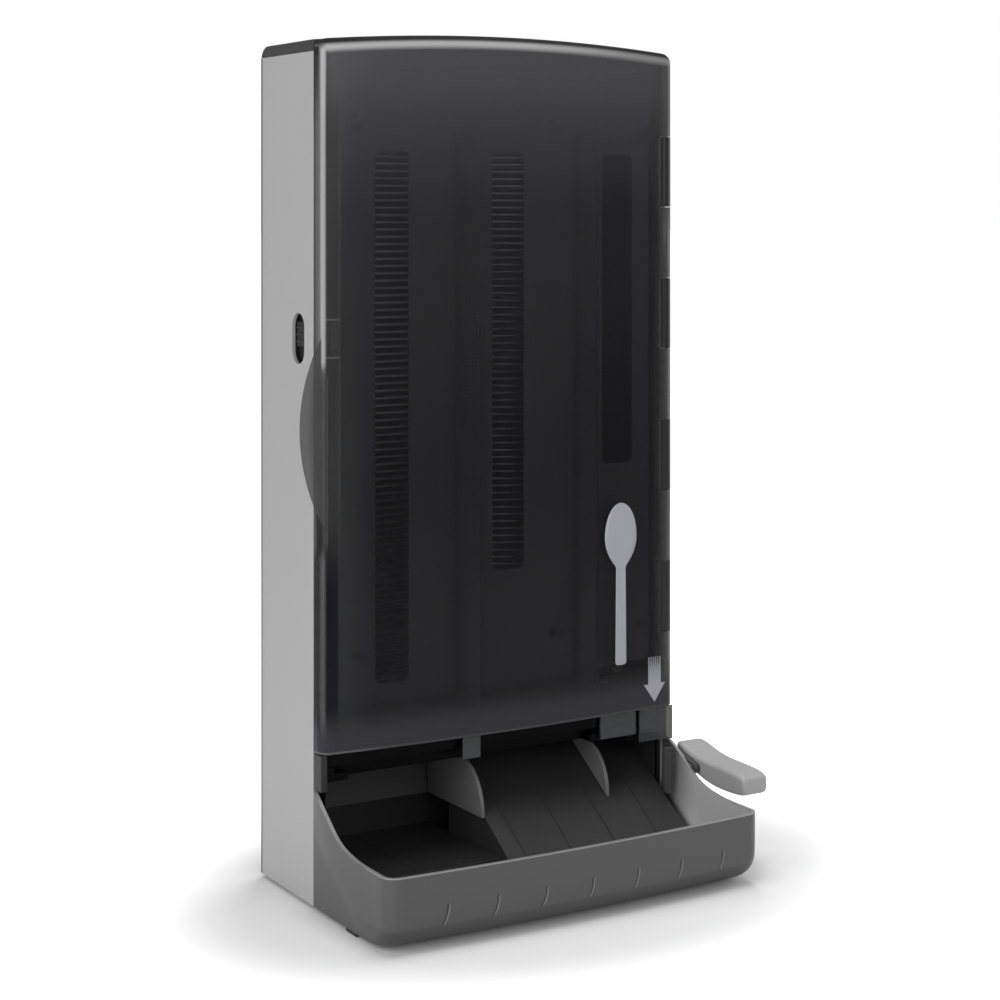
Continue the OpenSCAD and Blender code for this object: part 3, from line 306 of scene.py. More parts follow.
def trayPlastic(name, level, glow=0):
    # the tray's grey with its grooves, painted shade and painted highlights; glow is the painted light on
    # the inner side wall
    t = trayLook
    f = Finish(name, **{"Specular IOR Level": t["gloss"]})
    broad, fine = f.noise("broad"), f.noise("fine")
    up = (f.part(2) * 1000 - t["low"]) / (t["high"] - t["low"])
    along = f.across() * 1000 - t["first"] + (up - 1) * (up - 1) * t["curve"]
    nearest = f.add("ShaderNodeMath", {"operation": "ROUND"}, {0: along / t["pitch"]}) * t["pitch"]
    off = along - nearest
    side = f.add("ShaderNodeMath", {"operation": "ABSOLUTE"}, {0: off})
    zone = f.within(up, *t["rise"]) * f.smooth(f.across(), *t["left"]) * f.until(f.across(), *t["right"])
    zone = zone * f.until(f.depth(), *t["ahead"])
    # painted shade in the grooves, and a painted highlight along the lit side of each
    groove = f.until(side, *t["groove"]) * zone
    grooveHighlight = f.within(off, *t["grooveHighlightSide"]) * zone
    base = f.blendColours(broad, grey(level * (1 - t["uneven"])), grey(level * (1 + t["uneven"])))
    # painted shade on the rolled underside and a painted highlight along the lip
    rolled = f.until(f.part(2) * 1000, *t["bend"]) * f.until(f.depth(), *t["front"])
    lip = f.smooth(f.part(2) * 1000, *t["lip"]) * f.until(f.depth(), *t["lipAhead"])
    # painted light on the inner side wall, ahead of the housing
    if glow:
        base = f.blendColours(f.smooth(f.depth(), *t["inside"]), base, grey(glow))
    base = f.blendColours(rolled, base, grey(level * t["paintedBendShade"]))
    base = f.blendColours(lip, base, grey(level * t["paintedLipHighlight"]))
    base = f.blendColours(groove, base, grey(level * t["paintedGrooveShade"]))
    f.put("Base Color", f.blendColours(grooveHighlight, base, grey(level * t["paintedGrooveHighlight"])))
    f.put("Roughness", t["roughness"] + broad * t["broadShare"] + fine * t["fineShare"])
    f.bump(fine * t["fineRelief"] - groove, t["relief"])
    return f.material


# Cover finish: colours, among them painted light, painted highlights and painted shade, and the places in
# millimetres between which each one fades in and out
smoke = {
    "gloss": 0.22, "alpha": 0.34, "hazeAlpha": 0.03, "mostAlpha": 0.97, "uneven": 0.9,
    # the middle and high tints are painted light; the band colours and the hem are painted highlights; rim
    # is painted shade
    "low": (0.009, 0.0085, 0.0135, 1), "middle": (0.027, 0.0262, 0.031, 1), "high": (0.082, 0.08, 0.084, 1),
    "green": (0.04, 0.043, 0.037, 1), "strip": 0.065, "right": (0.07, 0.071, 0.069, 1), "topBand": 0.4,
    "upperBand": 0.34, "lowerBand": 0.065, "rim": 0.008, "foot": (0.027, 0.0265, 0.035, 1), "hem": 0.09,
    "middleFrom": (270, 520), "highFrom": (490, 600),
    "cornerAcross": (-152.8, -151.6, -150.6, -148.2), "cornerUnder": (4, 9),
    "upperFrom": (380, 394), "lowerTo": (248, 262),
    "lineAcross": (-149.2, -148.8, -148.4, -147.9), "lineUp": (256, 264, 378, 386),
    "bandUnder": (2.8, 6.8, 7.2, 11.2), "bandFrom": (-152, -148), "bandFade": (-10, 145, 1, 0.45),
    "greenFrom": (-143, -138), "greenFade": (-130, -118, 0.5, 0), "greenUnder": (430, 540),
    "stripAcross": (-137, -139.5), "stripUp": (220, 300, 562, 576), "rightFrom": (126, 148),
    "sideTo": (-152.9, -152.6), "sideFrom": (360, 390), "footTo": (118, 150), "rimTo": (2.5, 4.8),
    "hemTo": (114.2, 115.2), "hemFade": (-130, -95, 1, 0.4),
    "roughness": 0.12, "hazeRoughness": 0.05, "rubRoughness": 0.05, "roughUnder": (4, 8, 0.8, 0),
    "relief": 0.00001, "reliefShare": 0.5,
    "denseFoot": (126, 150, 0.6, 0), "denseTop": (550, 615), "denseTopBy": 0.35,
    "denseUnder": (8, 12, 0.6, 0), "denseRight": (138, 146), "denseBands": 0.5,
}


def coverPlastic(name):
    # the cover's smoke plastic: painted light towards its top, painted highlights on the rounded top edge,
    # the left corner and the lower edge, painted shade along the top rim and the upper left side
    c = smoke
    f = Finish(name, **{"Specular IOR Level": c["gloss"]})
    haze, rub = f.noise("haze"), f.noise("rub")
    x, z = f.across() * 1000, f.part(2) * 1000
    under = x * x * (-cover["crown"] / cover["side"] ** 2) + (cover["top"] + cover["crown"]) - z
    # painted highlights on the left corner above and below the grip ear, a thin painted highlight line
    # beside the ear, and a painted highlight band under the top edge
    corner = f.within(x, *c["cornerAcross"]) * f.smooth(under, *c["cornerUnder"])
    upper = corner * f.smooth(z, *c["upperFrom"])
    lowerCornerHighlight = corner * f.until(z, *c["lowerTo"])
    earHighlightLine = f.within(x, *c["lineAcross"]) * f.within(z, *c["lineUp"])
    topHighlight = f.within(under, *c["bandUnder"]) * f.smooth(x, *c["bandFrom"]) * f.smooth(x, *c["bandFade"])
    green = f.smooth(x, *c["greenFrom"]) * f.smooth(x, *c["greenFade"]) * f.until(z, *c["greenUnder"])
    strip = f.smooth(x, *c["stripAcross"]) * f.within(z, *c["stripUp"])
    # painted shade on the upper left side, and with rimTo below along the top rim; a painted highlight on
    # the lower edge
    side = f.until(x, *c["sideTo"]) * f.smooth(z, *c["sideFrom"])
    hem = f.until(z, *c["hemTo"]) * f.smooth(x, *c["hemFade"])
    tint = f.blendColours(haze, shade(c["low"], c["uneven"]), c["low"])
    # middle and high are painted light towards the top; upper, the lower corner, the ear line, the top band
    # and the hem are painted highlights; side and the top rim are painted shade
    for place, colour in (
        (f.smooth(z, *c["middleFrom"]), c["middle"]), (f.smooth(z, *c["highFrom"]), c["high"]),
        (green, c["green"]), (strip, grey(c["strip"])), (f.smooth(x, *c["rightFrom"]), c["right"]),
        (lowerCornerHighlight, grey(c["lowerBand"])), (earHighlightLine, grey(c["lowerBand"])), (upper, grey(c["upperBand"])),
        (topHighlight, grey(c["topBand"])), (side, grey(c["rim"])), (f.until(z, *c["footTo"]), c["foot"]),
        (f.until(under, *c["rimTo"]), grey(c["rim"])), (hem, grey(c["hem"])),
    ):
        tint = f.blendColours(place, tint, colour)
    f.put("Base Color", tint)
    f.put("Roughness", c["roughness"] + haze * c["hazeRoughness"] + rub * c["rubRoughness"]
          + f.smooth(under, *c["roughUnder"]))
    dense = (f.smooth(z, *c["denseFoot"]) + f.smooth(z, *c["denseTop"]) * c["denseTopBy"]
             + f.smooth(under, *c["denseUnder"]) + f.smooth(x, *c["denseRight"]) * c["denseBands"]
             + (upper + topHighlight + lowerCornerHighlight + earHighlightLine) * c["denseBands"])
    alpha = dense + haze * c["hazeAlpha"] + c["alpha"]
    f.put("Alpha", f.add("ShaderNodeMath", {"operation": "MINIMUM"}, {0: alpha, 1: c["mostAlpha"]}))
    f.bump(rub, c["relief"], c["reliefShare"])
    return f.material


# Spoon edges: painted highlights on the edges of the black spoons, and the metres at which this painted
# light brightens towards the handles' ends and the magazine's top
spoonEdgeHighlights = {
    "gloss": 0.8, "left": (-0.04, -0.08), "leftUp": (0.24, 0.38), "paintedLeftHighlight": 10, "waver": 0.05,
    "up": (0.45, 0.6), "roughness": 0.22, "fineShare": 0.06, "relief": 0.00003,
}


def edgeHighlightPlastic(name, low, high):
    # the spoons' edges, lighter than the spoons as a painted highlight, and brighter towards the top of the
    # magazine and at the handles' ends as painted light
    e = spoonEdgeHighlights
    f = Finish(name, **{"Specular IOR Level": e["gloss"]})
    broad, fine = f.noise("edge"), f.noise("fine")
    left = f.smooth(f.across(), *e["left"]) * f.smooth(f.part(2), *e["leftUp"])
    base = f.blendColours(left, grey(low), grey(low * e["paintedLeftHighlight"]))
    f.put("Base Color", f.blendColours(f.smooth(f.part(2) + broad * e["waver"], *e["up"]), base, grey(high)))
    f.put("Roughness", e["roughness"] + fine * e["fineShare"])
    f.bump(fine, e["relief"])
    return f.material


# Arrow: stripes along its shaft, in millimetres, which grow thinner and fainter upwards
arrowFade = {
    "middle": 133, "stripe": 1.1, "low": 128, "high": 157, "start": 1.1, "steep": 1.25,
    "soft": (0.2, 0.7), "thin": 0.6, "roughness": 0.46, "grainShare": 0.08,
}


def fadingInk(name, colour):
    # printed arrow whose shaft fades upwards into stripes
    a = arrowFade
    f = Finish(name, **{"Base Color": colour})
    aside = f.across() * 1000 - a["middle"]
    wave = f.add("ShaderNodeMath", {"operation": "PINGPONG"}, {0: aside, 1: a["stripe"]})
    rise = f.smooth(f.part(2) * 1000, a["low"], a["high"])
    stripes = f.smooth(wave / a["stripe"] + a["start"] - rise * a["steep"], *a["soft"])
    f.put("Alpha", stripes * (1 - rise * a["thin"]))
    f.put("Roughness", a["roughness"] + f.noise("ink") * a["grainShare"])
    return f.material


# Steel: shares of the streaks in its colour and roughness
steel = {"uneven": 0.88, "streakShare": 0.12, "relief": 0.00002}


def metalFinish(name, colour, roughness):
    f = Finish(name, Metallic=1.0)
    streak = f.noise("streak")
    f.put("Base Color", f.blendColours(streak, shade(colour, steel["uneven"]), colour))
    f.put("Roughness", roughness + streak * steel["streakShare"])
    f.bump(streak, steel["relief"])
    return f.material


# See-through plastic: shares of the patterns in its colour and roughness
clear = {"uneven": 0.85, "base": -0.04, "hazeShare": 0.05, "rubShare": 0.05, "relief": 0.00001}


def smokePlastic(name, colour, alpha, roughness=0.16, gloss=0.4, clearer=None, relief=0.4):
    # tinted see-through plastic with a faint haze and handling marks
    f = Finish(name, **{"Specular IOR Level": gloss})
    haze, rub = f.noise("haze"), f.noise("rub")
    level = alpha + haze * smoke["hazeAlpha"]
    if clearer:  # by how much, and the heights between which it changes
        level = level - f.smooth(f.part(2), *clearer[1:]) * clearer[0]
    f.put("Base Color", f.blendColours(haze, shade(colour, clear["uneven"]), colour))
    f.put("Roughness", roughness + clear["base"] + haze * clear["hazeShare"] + rub * clear["rubShare"])
    f.put("Alpha", level)
    f.bump(rub, clear["relief"], relief)
    return f.material


facing = 0.9  # a face looks along an axis when its normal has at least this share of it
onPlane = 0.0001  # how near a vertex lies to a cut to count as on it
mergeWithin = 0.00002  # metres between the corners of a CAD node's triangles that are one corner
flatWithin = 1  # degrees between faces that are one flat face


def finishMesh(name, bm, smoothAngle=35, housing=False):
    if housing:  # modelled in the housing's millimetres
        bmesh.ops.transform(bm, matrix=toRow, verts=bm.verts)
    mesh = bpy.data.meshes.new(name)
    bm.to_mesh(mesh)
    bm.free()
    piece = bpy.data.objects.new(name, mesh)
    bpy.context.scene.collection.objects.link(piece)
    mesh.shade_smooth()
    mesh.set_sharp_from_angle(angle=math.radians(smoothAngle))
    return piece


def dress(piece, materials, body, replaced=()):
    piece.data.materials.clear()
    for material in materials:
        piece.data.materials.append(material)
    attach(piece, body)
    if replaced:
        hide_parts(*replaced)


def bevelled(piece, width, segments=3, angle=35):
    mod = piece.modifiers.new("edges", "BEVEL")
    mod.width, mod.segments = width / 1000, segments
    mod.limit_method, mod.angle_limit = "ANGLE", math.radians(angle)
    mod.harden_normals = True
    mod.use_clamp_overlap = True
    return piece


def shelled(piece, wall):
    mod = piece.modifiers.new("wall", "SOLIDIFY")
    mod.thickness, mod.offset, mod.use_even_offset = wall / 1000, -1, True
    return piece


def cadCopy(node):
    # a CAD node's mesh with its triangles merged into flat faces
    bm = bmesh.new()
    bm.from_mesh(nodes[node].data)
    bmesh.ops.remove_doubles(bm, verts=bm.verts, dist=mergeWithin)
    bmesh.ops.dissolve_limit(bm, angle_limit=math.radians(flatWithin), verts=bm.verts, edges=bm.edges)
    return bm


def softened(node, width, material, rim=None):
    # a copy of a CAD node with its edges eased; its faces across X take the rim finish, here the painted
    # highlight on the clear parts' edges
    bm = cadCopy(node)
    if rim:
        for face in bm.faces:
            face.material_index = 1 if abs(face.normal.x) > facing else 0
    words = node.split("_")
    piece = finishMesh(words[0] + "".join(w.title() for w in words[1:]), bm, smoothAngle=20)
    bevelled(piece, width, segments=2)
    dress(piece, [material, rim] if rim else [material], nodes[node]["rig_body"], [node])


def block(bm, low, high):
    made = bmesh.ops.create_cube(bm, size=1)["verts"]
    bmesh.ops.scale(bm, vec=[h - l for l, h in zip(low, high)], verts=made)
    bmesh.ops.translate(bm, vec=[(h + l) / 2 for l, h in zip(low, high)], verts=made)


def cutAt(bm, axis, spots):
    for spot in spots:
        where, way = [0, 0, 0], [0, 0, 0]
        where[axis], way[axis] = spot, 1
        whole = bm.verts[:] + bm.edges[:] + bm.faces[:]
        bmesh.ops.bisect_plane(bm, geom=whole, plane_co=where, plane_no=way, dist=onPlane)


def cutOff(bm, where, way):
    # deletes what lies beyond a plane
    whole = bm.verts[:] + bm.edges[:] + bm.faces[:]
    bmesh.ops.bisect_plane(bm, geom=whole, plane_co=where, plane_no=way, clear_outer=True)


def between(table, value):
    # straight-line reading of a list of pairs
    for (a, fa), (b, fb) in zip(table, table[1:]):
        if value <= b:
            return fa + (fb - fa) * max(0, value - a) / (b - a)
    return table[-1][1]


def vertsOf(geometry):
    return [g for g in geometry if isinstance(g, bmesh.types.BMVert)]


# Cover: bowed and arched shell, open behind and below, cut away at the hinge strip's knuckles
cover = {
    "side": 153, "front": -13.3, "bow": 7, "back": -0.3, "low": 113, "top": 622, "crown": 7,
    "corner": 7.5, "cornerSteps": 8, "wall": 2.4, "stations": 26, "arched": 120, "archRow": 40, "edge": 0.5,
    "pinX": 146.5, "pinY": -6.8, "knuckle": 6.5, "knuckleGap": 0.3, "knuckleLow": 171,
    "knuckleLength": 55.2, "knuckleEnds": 8,
    "barrel": 3.8, "barrelTail": 28, "tailGap": 0.2, "barrelGap": 0.4, "barrelSides": 40, "smallEdge": 0.3,
    "ribs": (421, 394), "ribStart": 2.6, "ribEnd": -137, "ribBack": 8, "ribThick": 1.6,
    "bosses": ((-123, 45, 124), (180, 559.5)), "bossTip": 3.4, "bossRoot": 4, "bossEnd": -6.3,
    "bossInset": 2.5, "bossSides": 24,
    "earX": -145, "earY": -5.3, "earTurn": 40, "earBack": 8, "earInside": 1, "earMiddle": 343,
    "earHeight": 140, "earReach": 18, "earWall": 2.2, "earEdge": 0.7, "earSides": 360,
}


upright = Matrix.Rotation(math.pi / 2, 4, "X")  # a flat plate stands up, a standing cone lies along Y


def coverBow(x):
    return 1 - (x / cover["side"]) ** 2


def coverFront(x):
    return cover["front"] - cover["bow"] * coverBow(x)


def makeShell(levels):
    c = cover
    bm = bmesh.new()
    block(bm, (-c["side"], c["front"], c["low"]), (c["side"], c["back"], c["top"]))
    eased = [e for e in bm.edges if not all(v.co.y > c["back"] - 1 for v in e.verts)
             and not all(v.co.z < c["low"] + 1 for v in e.verts)]
    bmesh.ops.bevel(bm, geom=eased, offset=c["corner"], affect="EDGES", segments=c["cornerSteps"],
                    profile=0.5, material=-1)
    openSides = [f for f in bm.faces if f.normal.y > facing or f.normal.z < -facing]
    bmesh.ops.delete(bm, geom=openSides, context="FACES")
    step = 2 * (c["side"] - c["corner"]) / c["stations"]
    cutAt(bm, 0, [-c["side"] + c["corner"] + i * step for i in range(1, c["stations"])])
    cutAt(bm, 2, [c["top"] - c["archRow"], c["top"] - c["arched"]])
    for v in bm.verts:
        forward = (c["back"] - v.co.y) / (c["back"] - c["front"])
        upper = max(0, (v.co.z - c["top"] + c["arched"]) / c["arched"])
        v.co.y -= c["bow"] * coverBow(v.co.x) * forward
        v.co.z += c["crown"] * coverBow(v.co.x) * upper
    notchX = c["pinX"] - c["knuckle"] - c["knuckleGap"]
    cutAt(bm, 0, [notchX])
    cutAt(bm, 2, levels)
    # room for the hinge strip's knuckles, from each even level to the next
    gone = [f for f in bm.faces for i in (0, 2, 4, 6)
            if f.calc_center_median().x > notchX and levels[i] < f.calc_center_median().z < levels[i + 1]]
    bmesh.ops.delete(bm, geom=gone, context="FACES")
    shell = shelled(finishMesh("coverShell", bm, smoothAngle=40, housing=True), c["wall"])
    bevelled(shell, c["edge"], segments=2, angle=60)
    dress(shell, [smokeCover], "cover", ["front_cover"])


def makeBarrels(levels):
    # the cover's own knuckles, between the strip's, and a short tail past each end
    c = cover
    bm = bmesh.new()
    spans = [(levels[0] - c["barrelTail"], levels[0] - c["tailGap"])]
    spans += [(levels[i] + c["barrelGap"], levels[i + 1] - c["barrelGap"]) for i in (1, 3, 5)]
    spans += [(levels[7] + c["tailGap"], levels[7] + c["barrelTail"])]
    for low, high in spans:
        place = Matrix.Translation((c["pinX"], c["pinY"], (low + high) / 2))
        bmesh.ops.create_cone(bm, cap_ends=True, segments=c["barrelSides"], radius1=c["barrel"],
                              radius2=c["barrel"], depth=high - low, matrix=place)
    barrels = finishMesh("coverBarrels", bm, housing=True)
    dress(bevelled(barrels, c["smallEdge"], segments=2), [ribSmoke], "cover")


def makeRibs():
    # latch ribs behind the left edge
    c = cover
    bm = bmesh.new()
    for z in c["ribs"]:
        block(bm, (-c["side"] + c["ribStart"], c["front"] + c["ribStart"], z),
              (c["ribEnd"], c["front"] + c["ribBack"], z + c["ribThick"]))
    ribs = finishMesh("latchRibs", bm, housing=True)
    dress(bevelled(ribs, c["smallEdge"], segments=2), [latchSmoke], "cover")


def makeBosses():
    # screw bosses for the liner
    c = cover
    bm = bmesh.new()
    for x in c["bosses"][0]:
        front = coverFront(x) + c["bossInset"]
        for z in c["bosses"][1]:
            place = Matrix.Translation((x, (c["bossEnd"] + front) / 2, z)) @ upright
            bmesh.ops.create_cone(bm, cap_ends=True, segments=c["bossSides"], radius1=c["bossTip"],
                                  radius2=c["bossRoot"], depth=c["bossEnd"] - front, matrix=place)
    bosses = finishMesh("coverBosses", bm, housing=True)
    dress(bevelled(bosses, c["smallEdge"], segments=2), [bossSmoke], "cover")


def makeEar():
    # crescent finger grip: part of a round disc with a dark rim, turned to stand beside the corner
    c = cover
    bm = bmesh.new()
    radius = (c["earHeight"] ** 2 / 4 + c["earReach"] ** 2) / (2 * c["earReach"])
    bmesh.ops.create_circle(bm, cap_ends=True, segments=c["earSides"], radius=radius,
                            matrix=Matrix.Translation((c["earReach"] - radius, 0, 0)))
    cutOff(bm, (-c["earInside"], 0, 0), (-1, 0, 0))
    plate = bmesh.ops.extrude_face_region(bm, geom=bm.faces[:])["geom"]
    bmesh.ops.translate(bm, vec=(0, 0, c["earWall"]), verts=vertsOf(plate))
    bmesh.ops.recalc_face_normals(bm, faces=bm.faces)
    for face in bm.faces:
        face.material_index = 0 if abs(face.normal.z) > facing else 1
    turn = math.radians(c["earTurn"])
    x, y = c["earX"] - c["earBack"] * math.sin(turn), c["earY"] - c["earBack"] * math.cos(turn)
    turned = Matrix.Translation((x, y, c["earMiddle"])) @ Matrix.Rotation(math.pi - turn, 4, "Z")
    bmesh.ops.transform(bm, verts=bm.verts, matrix=turned @ upright)
    ear = finishMesh("gripEar", bm, housing=True)
    dress(bevelled(ear, c["earEdge"]), [earSmoke, frameBlack], "cover")


def makeCover():
    levels = [cover["knuckleLow"] + i * cover["knuckleLength"] for i in range(cover["knuckleEnds"])]
    makeShell(levels)
    makeBarrels(levels)
    makeRibs()
    makeBosses()
    makeEar()


# Catch tray: one U-shaped wall from side to side, rolled under at the front
trayForm = {
    "rearSide": 153, "flare": 3, "front": -119.5, "bow": 5, "corner": 11, "roll": 22, "floor": 3,
    "rear": -0.3, "wall": 2.8, "edge": 0.6, "boxEdge": 0.8, "boxStart": 0.02, "rollCorner": 0.45,
    "flareFade": 9, "flareSharp": 30, "flareStart": 30,
    "sideColumns": 34, "cornerColumns": 10, "frontColumns": 30, "rollRows": 10, "upperRows": 16,
    "lip": [(-140, 54), (-86, 54), (-72, 54.6), (-60, 56.2), (-51, 58.2), (-44, 60.7), (-37, 64.6),
            (-30, 69.7), (-20, 76.4), (-12, 81.5), (-6, 84.7), (0, 86)],
    "crease": [(-90, 3), (-71, 6.4), (-31, 32), (-2, 50), (0, 51)],
}


def trayPoint(column, row):
    t = trayForm
    rolled = row <= t["rollRows"]
    angle = math.pi / 2 * min(1, row / t["rollRows"])
    inset = t["roll"] * (1 - math.sin(angle))
    radius = t["corner"] + t["rollCorner"] * inset
    front = t["front"] + inset
    side = t["rearSide"] + t["flare"]
    ends, arc = t["sideColumns"], t["cornerColumns"]
    total = 2 * ends + 2 * arc + t["frontColumns"]
    left = column <= total / 2
    i = column if left else total - column
    if i <= ends:
        x, y = -side, t["rear"] + (front + radius - t["rear"]) * i / ends
    elif i <= ends + arc:
        bend = math.pi / 2 * (i - ends) / arc
        x, y = -side + radius * (1 - math.cos(bend)), front + radius * (1 - math.sin(bend))
    else:
        x, y = -(side - radius) * (1 - 2 * (i - ends - arc) / t["frontColumns"]), front
    y -= t["bow"] * (1 - min(1, abs(x) / (side - radius)) ** 2)
    top = between(t["lip"], y)
    z = t["floor"] + t["roll"] * (1 - math.cos(angle))
    if not rolled:
        z += (top - z) * (row - t["rollRows"]) / t["upperRows"]
    # the walls lean out below and ahead of the crease that rises to the rear
    ahead = max(0, z - between(t["crease"], y)) * min(1, max(0, -y) / t["flareStart"])
    lean = t["flare"] * math.exp(-ahead / t["flareFade"]) * min(1, abs(x) / side) ** t["flareSharp"]
    x += lean if x < 0 else -lean
    return Vector((x if left else -x, y, z))


def makeTray():
    t = trayForm
    columns = 2 * t["sideColumns"] + 2 * t["cornerColumns"] + t["frontColumns"]
    rows = t["rollRows"] + t["upperRows"]
    bm = bmesh.new()
    bmesh.ops.create_grid(bm, x_segments=columns, y_segments=rows, size=1)
    for v in bm.verts:
        v.co = trayPoint(round((v.co.x + 1) / 2 * columns), round((v.co.y + 1) / 2 * rows))
    under = [e for e in bm.edges if e.is_boundary and all(abs(v.co.z - t["floor"]) < 0.01 for v in e.verts)]
    bmesh.ops.contextual_create(bm, geom=sorted({v for e in under for v in e.verts}, key=lambda v: v.index))
    faceFront(bm)
    body = shelled(finishMesh("trayBody", bm, smoothAngle=50, housing=True), t["wall"])
    # the rim of the wall takes the painted lip highlight, its inner face the painted light of the inner wall
    body.modifiers["wall"].material_offset_rim = 1
    body.modifiers["wall"].material_offset = 2
    bevelled(body, t["edge"], angle=60)
    dress(body, [trayGrey, trayRimHighlight, trayInnerWallLight], "housing", ["tray"])

    bm = cadCopy("tray")  # the part of the tray that slides into the housing
    cutOff(bm, at(0, t["rear"] + t["boxStart"], 0), (0, -1, 0))
    dress(bevelled(finishMesh("trayBox", bm), t["boxEdge"]), [trayDark], "housing")


def faceFront(bm):
    bmesh.ops.recalc_face_normals(bm, faces=bm.faces)
    if sum(f.normal.y for f in bm.faces) > 0:
        bmesh.ops.reverse_faces(bm, faces=bm.faces)


# Spoons: one nested spoon, repeated up the magazine
spoons = {
    "left": -122, "middle": 22, "low": 100.4, "pitch": 5.4, "count": 82, "length": 178, "bowl": 34,
    "handle": 13, "wall": 1.2, "dip": 1.3, "columns": 16, "rows": 4, "bowlFrom": 0.67, "neckAt": 0.7,
    "round": 0.6, "bowlShare": 0.985, "bowlStart": 0.01,
    "taper": [(0, 0.8), (0.05, 1), (0.55, 0.74), (1, 0.74)],
}


def makeSpoons():
    s = spoons
    bm = bmesh.new()
    bmesh.ops.create_grid(bm, x_segments=s["columns"], y_segments=s["rows"], size=1)
    for v in bm.verts:
        u, across = (v.co.x + 1) / 2, v.co.y
        inBowl = max(0, (u - s["bowlFrom"]) / (1 - s["bowlFrom"]))
        handle = s["handle"] / 2 * between(s["taper"], u)
        turned = math.pi * min(1, inBowl * s["bowlShare"] + s["bowlStart"])
        bowlHalf = s["bowl"] / 2 * math.sin(turned) ** s["round"]
        half = max(bowlHalf, handle if u < s["neckAt"] else 0)
        height = s["dip"] * across * across if inBowl > 0 else s["dip"] * (0.5 + 0.5 * across * across)
        v.co = Vector((s["left"] + u * s["length"], s["middle"] + across * half, s["low"] + height))
    first = bm.verts[:] + bm.edges[:] + bm.faces[:]
    for i in range(1, s["count"]):
        copy = bmesh.ops.duplicate(bm, geom=first)["geom"]
        bmesh.ops.translate(bm, vec=(0, 0, i * s["pitch"]), verts=vertsOf(copy))
    bmesh.ops.reverse_faces(bm, faces=[f for f in bm.faces if f.normal.z < 0])
    stack = finishMesh("spoonStack", bm, smoothAngle=60, housing=True)
    # the rims of the spoons take the painted edge highlight
    mod = stack.modifiers.new("wall", "SOLIDIFY")
    mod.thickness, mod.offset, mod.material_offset_rim = s["wall"] / 1000, 1, 1
    dress(stack, [spoonBlack, spoonEdgeHighlight], "housing", ["spoon_stack"])


# Spoon pictogram on the cover
spoonSign = {
    "middle": 100, "low": 150.6, "bowlMiddle": 249, "high": 275, "neck": 222, "bowl": 15.2, "handle": 5.2,
    "upperHandle": 4.6, "corner": 2.4, "upperRound": 0.5, "lowerRound": 0.95, "columns": 8, "rows": 120,
    "least": 0.02, "thick": 0.4, "proud": 0.35,
}


def signHalf(z):
    # half width of the pictogram at a height
    g = spoonSign
    up = max(0, (z - g["low"]) / (g["neck"] - g["low"]))
    handle = g["handle"] + (g["upperHandle"] - g["handle"]) * up
    if z < g["low"] + g["corner"]:
        handle -= g["corner"] - math.sqrt(max(0, g["corner"] ** 2 - (g["low"] + g["corner"] - z) ** 2))
    upper = z > g["bowlMiddle"]
    reach = g["high"] - g["bowlMiddle"] if upper else g["bowlMiddle"] - g["neck"]
    off = abs(z - g["bowlMiddle"]) / reach
    bowl = g["bowl"] * max(0, 1 - off * off) ** (g["upperRound"] if upper else g["lowerRound"])
    return bowl if upper else max(bowl, handle)


def makeSign():
    g = spoonSign
    bm = bmesh.new()
    bmesh.ops.create_grid(bm, x_segments=g["columns"], y_segments=g["rows"], size=1)
    for v in bm.verts:
        share = (v.co.y + 1) / 2
        z = g["low"] + (g["high"] - g["low"]) * (1 - math.cos(math.pi * share)) / 2
        x = g["middle"] + v.co.x * max(signHalf(z), g["least"])
        v.co = Vector((x, coverFront(x) - g["proud"], z))
    faceFront(bm)
    sign = shelled(finishMesh("spoonIcon", bm, housing=True), g["thick"])
    dress(sign, [inkGrey], "cover", ["spoon_icon"])


def makePad():
    # the pad's CAD shape, rounded by subdivision
    pad = finishMesh("leverPad", cadCopy("lever_pad"), smoothAngle=180)
    mod = pad.modifiers.new("rounding", "SUBSURF")
    mod.levels = mod.render_levels = 2
    dress(pad, [leverGrey], nodes["lever_pad"]["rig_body"], ["lever_pad"])


# Second clear pane below the cover's right end
pane = {"low": (121, -12.2, 87), "high": (139, -10.8, 117), "edge": 0.4}


def makePane():
    bm = bmesh.new()
    block(bm, pane["low"], pane["high"])
    # the pane's faces across X take the painted edge highlight
    for face in bm.faces:
        face.material_index = 1 if abs(face.normal.x) > facing else 0
    piece = finishMesh("secondPane", bm, housing=True)
    dress(bevelled(piece, pane["edge"], segments=2), [clearPlastic, clearEdgeHighlight], "cover")


makeCamera()
makeLights()
makeStage()
bpy.context.scene.view_settings.view_transform = "Standard"
print("stage ready")

panelGrey = mouldedPlastic("panelGrey", grey(0.405), roughness=0.42, mottle=0.02)
frameBlack = mouldedPlastic("frameBlack", grey(0.014), roughness=0.42)
capSmoke = mouldedPlastic("capSmoke", grey(0.03), roughness=0.25)
trayGrey = trayPlastic("trayGrey", level=0.067)
# the tray's grey on the inner side of its wall, with painted light towards the front
trayInnerWallLight = trayPlastic("trayInnerWallLight", level=0.06, glow=0.5)
